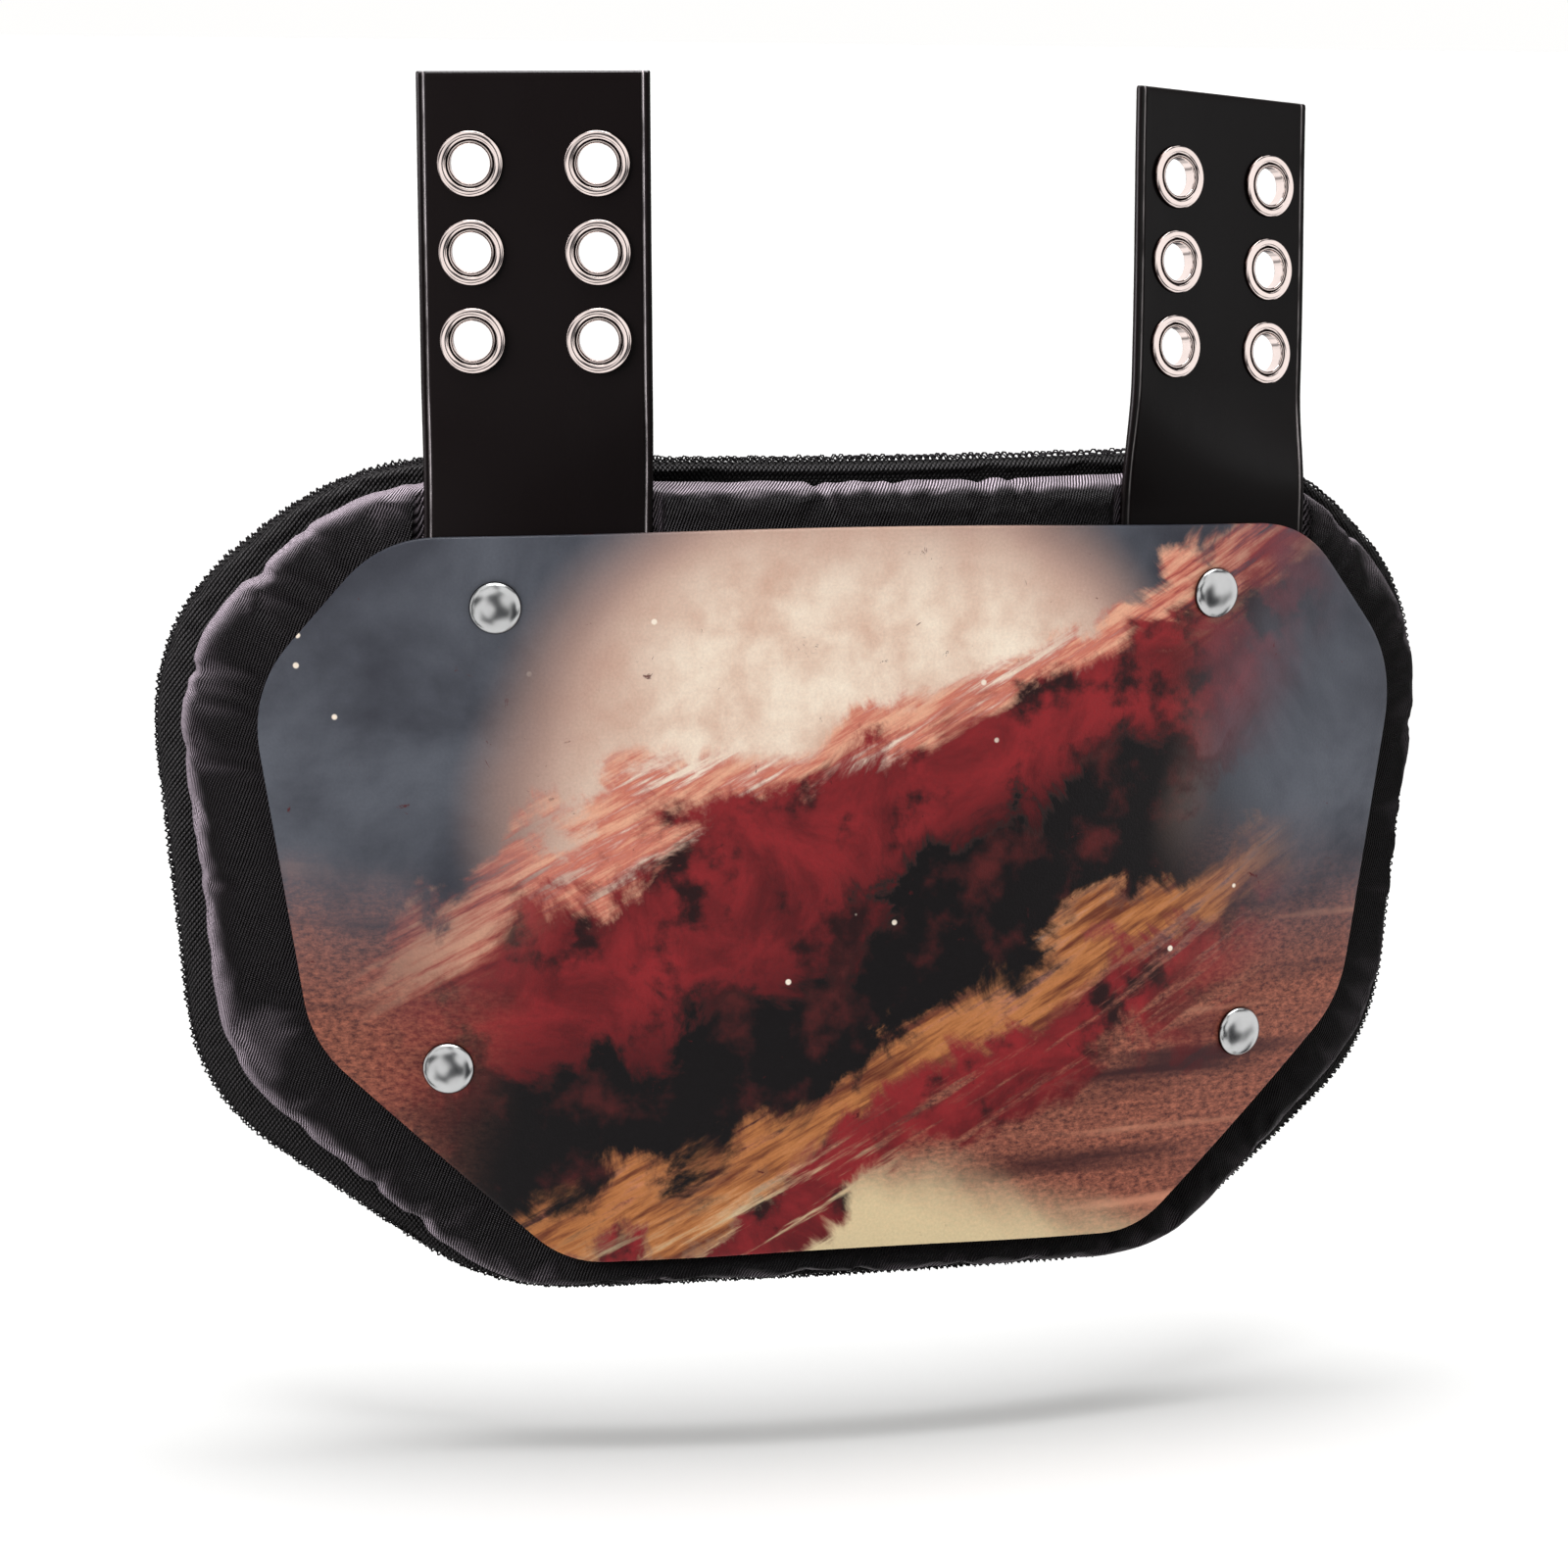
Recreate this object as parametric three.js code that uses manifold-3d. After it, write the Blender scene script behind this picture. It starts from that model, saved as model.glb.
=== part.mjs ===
// A football back plate: a bent hard plate riveted over a padded back, hung from
// two flat straps with eyelets.
//
// Millimetres. +Z is up, the decorated face looks along -Y and the wearer's back is
// behind, on +Y. The origin is where the part hangs: midway between the two straps,
// level with the middle rows of eyelets.
//
// Every sheet and pad is drawn flat first, in three flat coordinates: `along` is the
// distance along the bend from the middle, `depth` is how far a point lies behind the
// plate's front face, and `up` is its height above the plate's centre. bend() then
// wraps that flat space round an upright cylinder.
import * as THREE from "three";
import { mergeVertices } from "three/addons/utils/BufferGeometryUtils.js";
import Module from "manifold-3d";

const wasm = await Module();
wasm.setup();

// Driving dimensions.
const clearance = 0.3; // left between pieces that touch
const bendRadius = 408; // of the plate's front face
const hangHeight = 167; // of the origin above the plate's centre
const hangDepth = 15; // of the origin behind the plate's foremost line

const plate = { width: 330, height: 197.5, thickness: 2.2, edgeRound: 0.6, stations: 104 };

const padShift = -3.2; // of both pads from the plate's middle

const frontPad = {
  border: 23.5, // how far it may stand out past the plate
  thickness: 12.3,
  shoulder: 8, // depth over which its front rounds down to the ridge
  pucker: 1.7, // depth of each gather along the seam
  puckers: 34,
  stationsPerPucker: 4,
};

const meshPad = { rim: 10.2, thickness: 9.7, stations: 108 };

const strap = {
  width: 60,
  thickness: 2.2,
  edgeRound: 0.8,
  tail: 16, // below the upper rivets
  head: 46, // above the middle row of eyelets
  acrossSteps: 8,
  upSteps: 16,
};

// How each strap hangs: its side of the middle, its centre measured from its rivet and the
// height of its eyelets against the origin, then how far it is turned about the vertical,
// tipped backwards and swung sideways, in degrees.
const strapSeats = [
  { name: "left", side: -1, shift: 11, raise: 2, turn: -16.4, tip: 0, swing: 1 },
  { name: "right", side: 1, shift: 1.5, raise: -1.8, turn: 21.5, tip: 7, swing: -2.5 },
];

const eyelet = {
  bore: 5.1,
  barrel: 6,
  flange: 8.5,
  backFlange: 8.1,
  crown: 1.3,
  backCrown: 0.9,
  fromSide: 13.7, // from the strap's side edge to the axis
  rowGap: 22.6,
  rows: 3,
  sides: 12,
};

const rivet = { head: 6.9, crown: 3.2, shank: 2.4, washer: 5, washerThickness: 1, sides: 14 };

// Rivets are placed from the plate's edges.
const upperRivet = { fromSide: 65, fromTop: 21.5 };
const lowerRivet = { fromSide: 53, fromBottom: 53.3 };

// The right half of the plate's outline, from the middle of the top edge to the middle
// of the bottom one. along and up are shares of half the plate's width and height, and
// cut is the share of half the height rounded off at each side of the corner. The
// border columns are shares of the front pad's border and the rim columns are shares
// of the mesh pad's rim: how far each corner moves from one outline to the next.
const cornerRows = [
  { along: 0, up: 1, cut: 0.5, borderAlong: 0, borderUp: 0.45, rimAlong: 0, rimUp: 0.41 },
  { along: 0.787, up: 0.96, cut: 0.15, borderAlong: 0.15, borderUp: 0.63, rimAlong: 0.34, rimUp: 0.37 },
  { along: 1, up: 0.545, cut: 0.17, borderAlong: 0.91, borderUp: 0.42, rimAlong: 1, rimUp: 0.4 },
  { along: 0.9, up: -0.405, cut: 0.12, borderAlong: 1, borderUp: -0.38, rimAlong: 0.98, rimUp: -0.93 },
  { along: 0.488, up: -1, cut: 0.11, borderAlong: 0.67, borderUp: -0.37, rimAlong: 0.18, rimUp: -0.2 },
  { along: 0, up: -0.976, cut: 0.3, borderAlong: 0, borderUp: -0.36, rimAlong: 0, rimUp: -0.25 },
];
// Past the plate the corners grow softer: cut grows by these shares per outline.
const borderSoftening = 0.8;
const rimSoftening = 0.25;

// Rows of the two pads, from the front face round the edge to the back face. out runs
// from 0 at the inner outline to 1 at the outer one, and deep is a share of thickness.
const frontPadUnderside = [
  { out: 0.93, deep: 0.84 },
  { out: 0.78, deep: 1 },
];
const meshPadRows = [
  { out: 0.35, deep: 0 },
  { out: 0.82, deep: 0.1 },
  { out: 1, deep: 0.42 },
  { out: 0.93, deep: 0.8 },
  { out: 0.55, deep: 1 },
];
const shoulderTurns = [0, 25, 45, 62, 76, 90];

const strapDepth = plate.thickness + clearance;
const frontPadDepth = plate.thickness + clearance;
const meshPadDepth = frontPadDepth + frontPad.thickness + clearance;

const upperRivetAt = {
  along: plate.width / 2 - upperRivet.fromSide,
  up: plate.height / 2 - upperRivet.fromTop,
};
const lowerRivetAt = {
  along: plate.width / 2 - lowerRivet.fromSide,
  up: lowerRivet.fromBottom - plate.height / 2,
};

// The point of the real, bent object for a point of the flat drawing.
function bend(along, depth, up) {
  const turn = along / bendRadius;
  const radius = bendRadius - depth;
  return new THREE.Vector3(radius * Math.sin(turn), bendRadius - radius * Math.cos(turn), up);
}

// The corners of an outline. border and rim run from 0 to 1: 0, 0 is the plate's
// outline, 1, 0 the front pad's ridge and 1, 1 the mesh pad's rim.
function corners(border, rim, inset = 0) {
  const shift = border * padShift;
  const half = cornerRows.map((row) => ({
    along:
      (row.along * plate.width) / 2 +
      row.borderAlong * border * frontPad.border +
      row.rimAlong * rim * meshPad.rim -
      inset * Math.sign(row.along),
    up:
      (row.up * plate.height) / 2 +
      row.borderUp * border * frontPad.border +
      row.rimUp * rim * meshPad.rim -
      inset * Math.sign(row.up),
    cut: ((row.cut * plate.height) / 2) * (1 + borderSoftening * border + rimSoftening * rim),
  }));
  const mirrored = half
    .slice(1, -1)
    .reverse()
    .map((c) => ({ ...c, along: -c.along }));
  return [...half, ...mirrored].map((c) => ({ ...c, along: c.along + shift }));
}

// An outline as evenly spaced points, clockwise from the middle of the top edge.
function outline(cornerList, stations) {
  const points = cornerList.map((c) => new THREE.Vector2(c.along, c.up));
  const path = new THREE.Path();
  const towards = (i, j) => {
    const step = points[j].clone().sub(points[i]);
    return points[i].clone().add(step.setLength(Math.min(cornerList[i].cut, step.length() / 2)));
  };
  const count = points.length;
  const start = towards(0, 1);
  path.moveTo(start.x, start.y);
  for (let i = 1; i <= count; i++) {
    const here = i % count;
    const enter = towards(here, (here + count - 1) % count);
    const leave = towards(here, (here + 1) % count);
    path.lineTo(enter.x, enter.y);
    path.quadraticCurveTo(points[here].x, points[here].y, leave.x, leave.y);
  }
  return path.getSpacedPoints(stations).slice(0, stations);
}

// Triangles that fill a loop, cut into narrow upright slices so that they can bend. The
// loop runs clockwise, and index gives the vertex number of each of its stations.
function sliceFill(loop, index) {
  const count = loop.length;
  const extreme = (sign) =>
    loop.reduce((best, p, i) => (sign * p.x > sign * loop[best].x ? i : best), 0);
  const leftmost = extreme(-1);
  const rightmost = extreme(1);
  const upper = [];
  const lower = [];
  for (let i = leftmost; i !== rightmost; i = (i + 1) % count) upper.push(i);
  upper.push(rightmost);
  for (let i = leftmost; i !== rightmost; i = (i + count - 1) % count) lower.push(i);
  lower.push(rightmost);
  const triangles = [];
  let a = 0;
  let b = 0;
  while (a < upper.length - 1 || b < lower.length - 1) {
    const upperNext = a < upper.length - 1 ? loop[upper[a + 1]].x : Infinity;
    const lowerNext = b < lower.length - 1 ? loop[lower[b + 1]].x : Infinity;
    if (upperNext <= lowerNext) {
      if (upper[a + 1] !== lower[b]) triangles.push([upper[a], lower[b], upper[a + 1]]);
      a++;
    } else {
      if (upper[a] !== lower[b + 1]) triangles.push([upper[a], lower[b], lower[b + 1]]);
      b++;
    }
  }
  return triangles
    .filter((t) => new Set(t).size === 3)
    .map((t) => t.map(index));
}

// A closed solid through rows of loops with equal station counts, each { loop, depth }.
// The first row closes the front face and the last one the back face.
function bentSolid(rows) {
  const stations = rows[0].loop.length;
  const positions = [];
  for (const { loop, depth } of rows)
    for (const p of loop) positions.push(...bend(p.x, depth, p.y).toArray());
  const last = (rows.length - 1) * stations;
  const faces = sliceFill(rows[0].loop, (i) => i);
  for (const [p, q, r] of sliceFill(rows.at(-1).loop, (i) => last + i)) faces.push([p, r, q]);
  for (let row = 0; row < rows.length - 1; row++)
    for (let i = 0; i < stations; i++) {
      const j = (i + 1) % stations;
      const here = row * stations;
      const next = here + stations;
      faces.push([here + i, here + j, next + j], [here + i, next + j, next + i]);
    }
  return solidFromFaces(positions, faces);
}

function solidFromFaces(positions, faces) {
  const geometry = new THREE.BufferGeometry();
  geometry.setAttribute("position", new THREE.Float32BufferAttribute(positions, 3));
  geometry.setIndex(faces.flat());
  return toSolid(geometry);
}

function toSolid(geometry) {
  const bare = geometry.clone();
  bare.deleteAttribute("normal");
  bare.deleteAttribute("uv");
  const merged = mergeVertices(bare, 1e-4);
  return new wasm.Manifold(
    new wasm.Mesh({
      numProp: 3,
      vertProperties: merged.attributes.position.array,
      triVerts: new Uint32Array(merged.index.array),
    }),
  );
}

function toGeometry(solid) {
  const mesh = solid.getMesh();
  const geometry = new THREE.BufferGeometry();
  geometry.setAttribute("position", new THREE.Float32BufferAttribute(mesh.vertProperties, 3));
  geometry.setIndex(new THREE.BufferAttribute(mesh.triVerts, 1));
  geometry.computeVertexNormals();
  return geometry;
}

// A turned piece: profile holds [radius, out] pairs, and `out` points out of the face.
function turned(profile, sides, place) {
  const points = profile.map(([radius, out]) => new THREE.Vector2(radius, out));
  return new THREE.LatheGeometry(points, sides).applyMatrix4(place);
}

// Puts a turned piece's axis on the outward normal of a face at the given point.
function facing(point, turn) {
  const normal = new THREE.Vector3(Math.sin(turn), -Math.cos(turn), 0);
  const spin = new THREE.Quaternion().setFromUnitVectors(new THREE.Vector3(0, 1, 0), normal);
  return new THREE.Matrix4().compose(point, spin, new THREE.Vector3(1, 1, 1));
}

function pin(radius, from, to, place, sides = rivet.sides) {
  const profile = [
    [0, from],
    [radius, from],
    [radius, to],
    [0, to],
  ];
  return toSolid(turned(profile, sides, place));
}

function rivetPlaces() {
  const places = [];
  for (const [level, at] of [["upper", upperRivetAt], ["lower", lowerRivetAt]])
    for (const [hand, side] of [["left", -1], ["right", 1]]) {
      const along = side * at.along;
      const place = facing(bend(along, 0, at.up), along / bendRadius);
      places.push({ name: `rivet_${level}_${hand}`, place });
    }
  return places;
}

const rivetEnd = -(frontPadDepth + frontPad.thickness); // back face of the front pad

function facePlate() {
  const inner = outline(corners(0, 0, plate.edgeRound), plate.stations);
  const outer = outline(corners(0, 0), plate.stations);
  let solid = bentSolid([
    { loop: inner, depth: 0 },
    { loop: outer, depth: plate.edgeRound },
    { loop: outer, depth: plate.thickness },
  ]);
  for (const { place } of rivetPlaces())
    solid = solid.subtract(pin(rivet.shank + clearance, -plate.thickness * 2, plate.thickness, place));
  return solid;
}

// Each gather pulls one station in four towards the plate.
function gathered(loop, share) {
  const inner = outline(corners(0, 0), loop.length);
  return loop.map((p, i) => {
    const pulled = i % frontPad.stationsPerPucker === 1 ? share * frontPad.pucker : 0;
    const inward = inner[i].clone().sub(p).setLength(pulled);
    return p.clone().add(inward);
  });
}

function frontPadSolid() {
  const stations = frontPad.puckers * frontPad.stationsPerPucker;
  const rows = shoulderTurns.map((degrees) => {
    const turn = THREE.MathUtils.degToRad(degrees);
    const out = Math.sin(turn);
    const loop = outline(corners(out, 0), stations);
    return {
      loop: gathered(loop, out ** 4),
      depth: frontPadDepth + frontPad.shoulder * (1 - Math.cos(turn)),
    };
  });
  for (const { out, deep } of frontPadUnderside)
    rows.push({
      loop: outline(corners(out, 0), stations),
      depth: frontPadDepth + frontPad.thickness * deep,
    });
  let solid = bentSolid(rows);
  for (const seat of strapSeats) solid = solid.subtract(strapSolid(seat, clearance));
  for (const { place } of rivetPlaces()) {
    const washerRoom = rivet.washerThickness + clearance;
    solid = solid.subtract(pin(rivet.shank + clearance, 2 * rivetEnd, 0, place));
    solid = solid.subtract(pin(rivet.washer + clearance, 2 * rivetEnd, rivetEnd + washerRoom, place));
  }
  return solid;
}

function meshPadSolid() {
  return bentSolid(
    meshPadRows.map(({ out, deep }) => ({
      loop: outline(corners(1, out), meshPad.stations),
      depth: meshPadDepth + meshPad.thickness * deep,
    })),
  );
}

// The height of a row of eyelets above the plate's centre, counted from the top row.
function eyeletHeight(seat, row) {
  return hangHeight + seat.raise + ((eyelet.rows - 1) / 2 - row) * eyelet.rowGap;
}

// The height at which a strap has become flat, just below its lowest eyelets.
function strapFlatFrom(seat) {
  return eyeletHeight(seat, eyelet.rows - 1) - eyelet.flange - clearance;
}

// The height of a strap's lower and upper ends above the plate's centre.
function strapEnds(seat) {
  return {
    low: upperRivetAt.up - strap.tail,
    high: hangHeight + seat.raise + strap.head,
  };
}

// Carries a point of a strap's own flat sheet, hung from the plate's top edge, to its
// place: x runs across the strap, y into its thickness and z up along it.
function strapFrame(seat) {
  const [turn, tip, swing] = [seat.turn, seat.tip, seat.swing].map(THREE.MathUtils.degToRad);
  const edge = bend(strapCentre(seat), strapDepth, plate.height / 2);
  const spun = new THREE.Matrix4().makeRotationZ(turn);
  const swung = new THREE.Matrix4().makeRotationY(-swing);
  const tipped = new THREE.Matrix4().makeRotationX(-tip);
  return new THREE.Matrix4().setPosition(edge).multiply(tipped).multiply(spun).multiply(swung);
}

function strapCentre(seat) {
  return seat.side * upperRivetAt.along + seat.shift;
}

// A point of a strap: across runs from its centre line, deep from its front face. Behind
// the plate it lies on the bend, and above it eases into a flat sheet.
function strapPoint(seat, across, deep, up) {
  const onBend = bend(strapCentre(seat) + across, strapDepth + deep, up);
  const flat = new THREE.Vector3(across, deep, up - plate.height / 2).applyMatrix4(strapFrame(seat));
  const ease = THREE.MathUtils.smoothstep(up, plate.height / 2, strapFlatFrom(seat));
  return onBend.lerp(flat, ease);
}

// One cross-section of a strap, clockwise seen from above, grown by `spare` all round.
function strapSection(spare) {
  const half = strap.width / 2 + spare;
  const flatHalf = half - strap.edgeRound;
  const front = -spare;
  const back = strap.thickness + spare;
  const steps = Array.from({ length: strap.acrossSteps + 1 }, (_, i) => (2 * i) / strap.acrossSteps - 1);
  return [
    ...steps.map((s) => ({ across: s * flatHalf, deep: front })),
    { across: half, deep: strap.thickness / 2 },
    ...steps.map((s) => ({ across: -s * flatHalf, deep: back })),
    { across: -half, deep: strap.thickness / 2 },
  ];
}

function strapSolid(seat, spare = 0) {
  const { low, high } = strapEnds(seat);
  const section = strapSection(spare);
  const positions = [];
  for (let k = 0; k <= strap.upSteps; k++) {
    const up = THREE.MathUtils.lerp(low - spare, high + spare, k / strap.upSteps);
    for (const { across, deep } of section)
      positions.push(...strapPoint(seat, across, deep, up).toArray());
  }
  const count = section.length;
  const top = strap.upSteps * count;
  const faces = [];
  for (let k = 0; k < strap.upSteps; k++)
    for (let i = 0; i < count; i++) {
      const j = (i + 1) % count;
      const here = k * count;
      const next = here + count;
      faces.push([here + i, here + j, next + j], [here + i, next + j, next + i]);
    }
  for (let i = 1; i < count - 1; i++) faces.push([0, i + 1, i], [top, top + i, top + i + 1]);
  return solidFromFaces(positions, faces);
}

function strapPiece(seat) {
  let solid = strapSolid(seat);
  for (const { place } of eyeletPlaces(seat))
    solid = solid.subtract(
      pin(eyelet.barrel + clearance, -3 * strap.thickness, strap.thickness, place, eyelet.sides),
    );
  for (const { name, place } of rivetPlaces())
    if (name === `rivet_upper_${seat.name}`)
      solid = solid.subtract(pin(rivet.shank + clearance, 2 * rivetEnd, 0, place));
  return solid;
}

function eyeletPlaces(seat) {
  const places = [];
  const frame = strapFrame(seat);
  for (let row = 0; row < eyelet.rows; row++)
    for (const side of [-1, 1]) {
      const along = side * (strap.width / 2 - eyelet.fromSide);
      const point = new THREE.Vector3(along, 0, eyeletHeight(seat, row) - plate.height / 2);
      const name = `eyelet_${seat.name}_${places.length + 1}`;
      places.push({ name, place: frame.clone().multiply(facing(point, 0)) });
    }
  return places;
}

function eyeletPiece(place) {
  const back = -strap.thickness;
  const { bore, barrel, flange, backFlange, crown, backCrown } = eyelet;
  const profile = [
    [bore, back - backCrown],
    [backFlange, back - backCrown],
    [backFlange, back - clearance],
    [barrel, back - clearance],
    [barrel, clearance],
    [flange, clearance],
    [flange, crown / 2],
    [(bore + flange) / 2, crown],
    [bore, crown / 2],
    [bore, back - backCrown],
  ];
  return turned(profile, eyelet.sides, place);
}

function rivetPiece(place) {
  const { head, crown, shank, washer, washerThickness } = rivet;
  const washerTop = rivetEnd + washerThickness;
  const profile = [
    [0, rivetEnd],
    [washer, rivetEnd],
    [washer, washerTop],
    [shank, washerTop],
    [shank, clearance],
    [head, clearance],
    [head * 0.93, crown * 0.4],
    [head * 0.7, crown * 0.8],
    [head * 0.38, crown * 0.97],
    [0, crown],
  ];
  return turned(profile, rivet.sides, place);
}

const materials = {
  plate: new THREE.MeshStandardMaterial({ color: 0x8f6a5e, roughness: 0.35, metalness: 0 }),
  nylon: new THREE.MeshStandardMaterial({ color: 0x1c1b1e, roughness: 0.55, metalness: 0 }),
  mesh: new THREE.MeshStandardMaterial({ color: 0x0d0d0e, roughness: 0.9, metalness: 0 }),
  vinyl: new THREE.MeshStandardMaterial({ color: 0x131213, roughness: 0.3, metalness: 0 }),
  metal: new THREE.MeshStandardMaterial({ color: 0xd9d2cc, roughness: 0.15, metalness: 1 }),
};

const assembly = new THREE.Group();
assembly.position.set(0, -hangDepth, -hangHeight);

function add(name, geometry, material) {
  const mesh = new THREE.Mesh(geometry, material);
  mesh.name = name;
  assembly.add(mesh);
}

add("face_plate", toGeometry(facePlate()), materials.plate);
add("front_pad", toGeometry(frontPadSolid()), materials.nylon);
add("mesh_pad", toGeometry(meshPadSolid()), materials.mesh);
for (const seat of strapSeats) {
  add(`strap_${seat.name}`, toGeometry(strapPiece(seat)), materials.vinyl);
  for (const { name, place } of eyeletPlaces(seat)) add(name, eyeletPiece(place), materials.metal);
}
for (const { name, place } of rivetPlaces()) add(name, rivetPiece(place), materials.metal);

const object = new THREE.Group();
object.add(assembly);
export default object;
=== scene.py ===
from collections import namedtuple
from types import SimpleNamespace

import bmesh
import bpy
import numpy as np
from mathutils import Matrix, Vector


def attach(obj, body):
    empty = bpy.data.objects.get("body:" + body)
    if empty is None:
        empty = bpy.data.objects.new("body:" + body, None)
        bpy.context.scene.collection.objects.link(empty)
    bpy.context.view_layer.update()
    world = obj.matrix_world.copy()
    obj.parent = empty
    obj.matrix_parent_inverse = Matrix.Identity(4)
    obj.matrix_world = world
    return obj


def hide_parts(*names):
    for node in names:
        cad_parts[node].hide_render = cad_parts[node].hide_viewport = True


bl_info = {
    "name": "Football back plate",
    "version": (1, 0, 0),
    "blender": (4, 5, 0),
    "location": "3D View > Sidebar > Back plate",
    "description": "Builds the cloth, print, straps and metal of a football back plate",
    "category": "Add Mesh",
}

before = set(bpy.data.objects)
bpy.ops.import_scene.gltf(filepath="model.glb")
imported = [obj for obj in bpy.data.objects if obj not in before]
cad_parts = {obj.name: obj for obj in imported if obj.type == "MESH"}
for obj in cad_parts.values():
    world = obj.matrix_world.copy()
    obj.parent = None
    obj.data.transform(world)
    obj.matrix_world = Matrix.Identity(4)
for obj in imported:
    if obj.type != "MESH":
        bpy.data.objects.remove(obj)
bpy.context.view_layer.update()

MM = 0.001
BODY = "root"

# The flat drawing that every sheet and pad is worked out in, as in the part's source: `along`
# is measured round the bend from the plate's middle, `depth` behind the plate's front face
# and `up` from the plate's centre, all in millimetres.
BEND_RADIUS = 408
HANG_HEIGHT = 167
HANG_DEPTH = 15
PLATE_WIDTH = 330
PLATE_HEIGHT = 197.5
CLEARANCE = 0.3

# The right half of the plate's outline, as in the part's source.
CORNERS = np.array(
    [
        # along, up, cut, border along, border up, rim along, rim up
        (0, 1, 0.5, 0, 0.45, 0, 0.41),
        (0.787, 0.96, 0.15, 0.15, 0.63, 0.34, 0.37),
        (1, 0.545, 0.17, 0.91, 0.42, 1, 0.4),
        (0.9, -0.405, 0.12, 1, -0.38, 0.98, -0.93),
        (0.488, -1, 0.11, 0.67, -0.37, 0.18, -0.2),
        (0, -0.976, 0.3, 0, -0.36, 0, -0.25),
    ]
)
BORDER = 23.5
RIM = 10.2
PAD_SHIFT = -3.2
BORDER_SOFTENING = 0.8
RIM_SOFTENING = 0.25

UPPER_RIVET = (PLATE_WIDTH / 2 - 65, PLATE_HEIGHT / 2 - 21.5)
LOWER_RIVET = (PLATE_WIDTH / 2 - 53, 53.3 - PLATE_HEIGHT / 2)

# Each strap's centre along the bend, how far it is raised, and its turn, tip and swing in degrees.
Seat = namedtuple("Seat", "centre raised turn tip swing")
STRAP_SEATS = {
    "left": Seat(-UPPER_RIVET[0] + 11, 2, -16.4, 0, 1),
    "right": Seat(UPPER_RIVET[0] + 1.5, -1.8, 21.5, 7, -2.5),
}
STRAP_TAIL = 16
STRAP_HEAD = 46
STRAP_FOOT = UPPER_RIVET[1] - STRAP_TAIL
HEM = 1.9

# The share of the nylon's border that lies flat before the roll begins.
ROLL_FROM = 0.56
EYELET_FROM_SIDE = 13.7
EYELET_ROW_GAP = 22.6
EYELET_ROWS = 3
EYELET_FLANGE = 8.5
EYELET_BORE = 5.1
EYELET_HOLE = 6.25
TURNED_SIDES = 48

PLATE_STATIONS = 480
PAD_STATIONS = 360

# The simulated cloth moves no further than this, in metres.
PUFF_LIMIT = 0.001
PUFF_FRAMES = 20
FULL_TURN = 6.2832


def settings():
    """The add-on's own settings, with their lengths turned into millimetres."""
    kept = bpy.context.scene.back_plate
    values = {}
    for name in BackPlateSettings.__annotations__:
        values[name] = getattr(kept, name)
        if kept.bl_rna.properties[name].unit == "LENGTH":
            values[name] /= MM
    return SimpleNamespace(**values)


def nylon_front():
    """The depth of the nylon pad's front face, which is also that of the straps."""
    return settings().plate_thickness + CLEARANCE


def mesh_front():
    """The depth of the mesh pad's front face."""
    s = settings()
    return s.plate_thickness + 2 * CLEARANCE + s.pad_thickness


# Shapes in the flat drawing


def smoothstep(x, low, high):
    """0 below low, 1 above high, and an even S-curve between them."""
    t = np.clip((np.asarray(x, float) - low) / (high - low), 0, 1)
    return t * t * (3 - 2 * t)


def bend(flat):
    """Wraps flat points (along, depth, up) round the upright cylinder and into the part's frame,
    in metres: the angle is along / radius, and depth shortens the radius."""
    along, depth, up = np.moveaxis(np.asarray(flat, float), -1, 0)
    turn = along / BEND_RADIUS
    radius = BEND_RADIUS - depth
    return MM * np.stack(
        [radius * np.sin(turn), BEND_RADIUS - radius * np.cos(turn) - HANG_DEPTH, up - HANG_HEIGHT],
        axis=-1,
    )


def unbend(points):
    """The flat (along, depth, up) of points in the part's frame: bend() taken backwards."""
    x, y, z = np.moveaxis(np.asarray(points, float) / MM, -1, 0)
    towards_axis = BEND_RADIUS - (y + HANG_DEPTH)
    return np.stack(
        [
            BEND_RADIUS * np.arctan2(x, towards_axis),
            BEND_RADIUS - np.hypot(x, towards_axis),
            z + HANG_HEIGHT,
        ],
        axis=-1,
    )


def corner_points(border, rim, inset=0):
    """The corners of an outline and how much each is cut. border 0 is the plate's edge and 1 the
    nylon's ridge, and rim 1 is the mesh's outer edge."""
    along, up, cut, border_along, border_up, rim_along, rim_up = CORNERS.T
    corner = np.stack(
        [
            along * PLATE_WIDTH / 2 + border_along * border * BORDER + rim_along * rim * RIM,
            up * PLATE_HEIGHT / 2 + border_up * border * BORDER + rim_up * rim * RIM,
        ],
        axis=-1,
    )
    corner -= inset * np.sign(CORNERS[:, :2])
    cuts = cut * PLATE_HEIGHT / 2 * (1 + BORDER_SOFTENING * border + RIM_SOFTENING * rim)
    left = corner[-2:0:-1] * (-1, 1)
    corner = np.vstack([corner, left]) + (border * PAD_SHIFT, 0)
    return corner, np.concatenate([cuts, cuts[-2:0:-1]])


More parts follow.
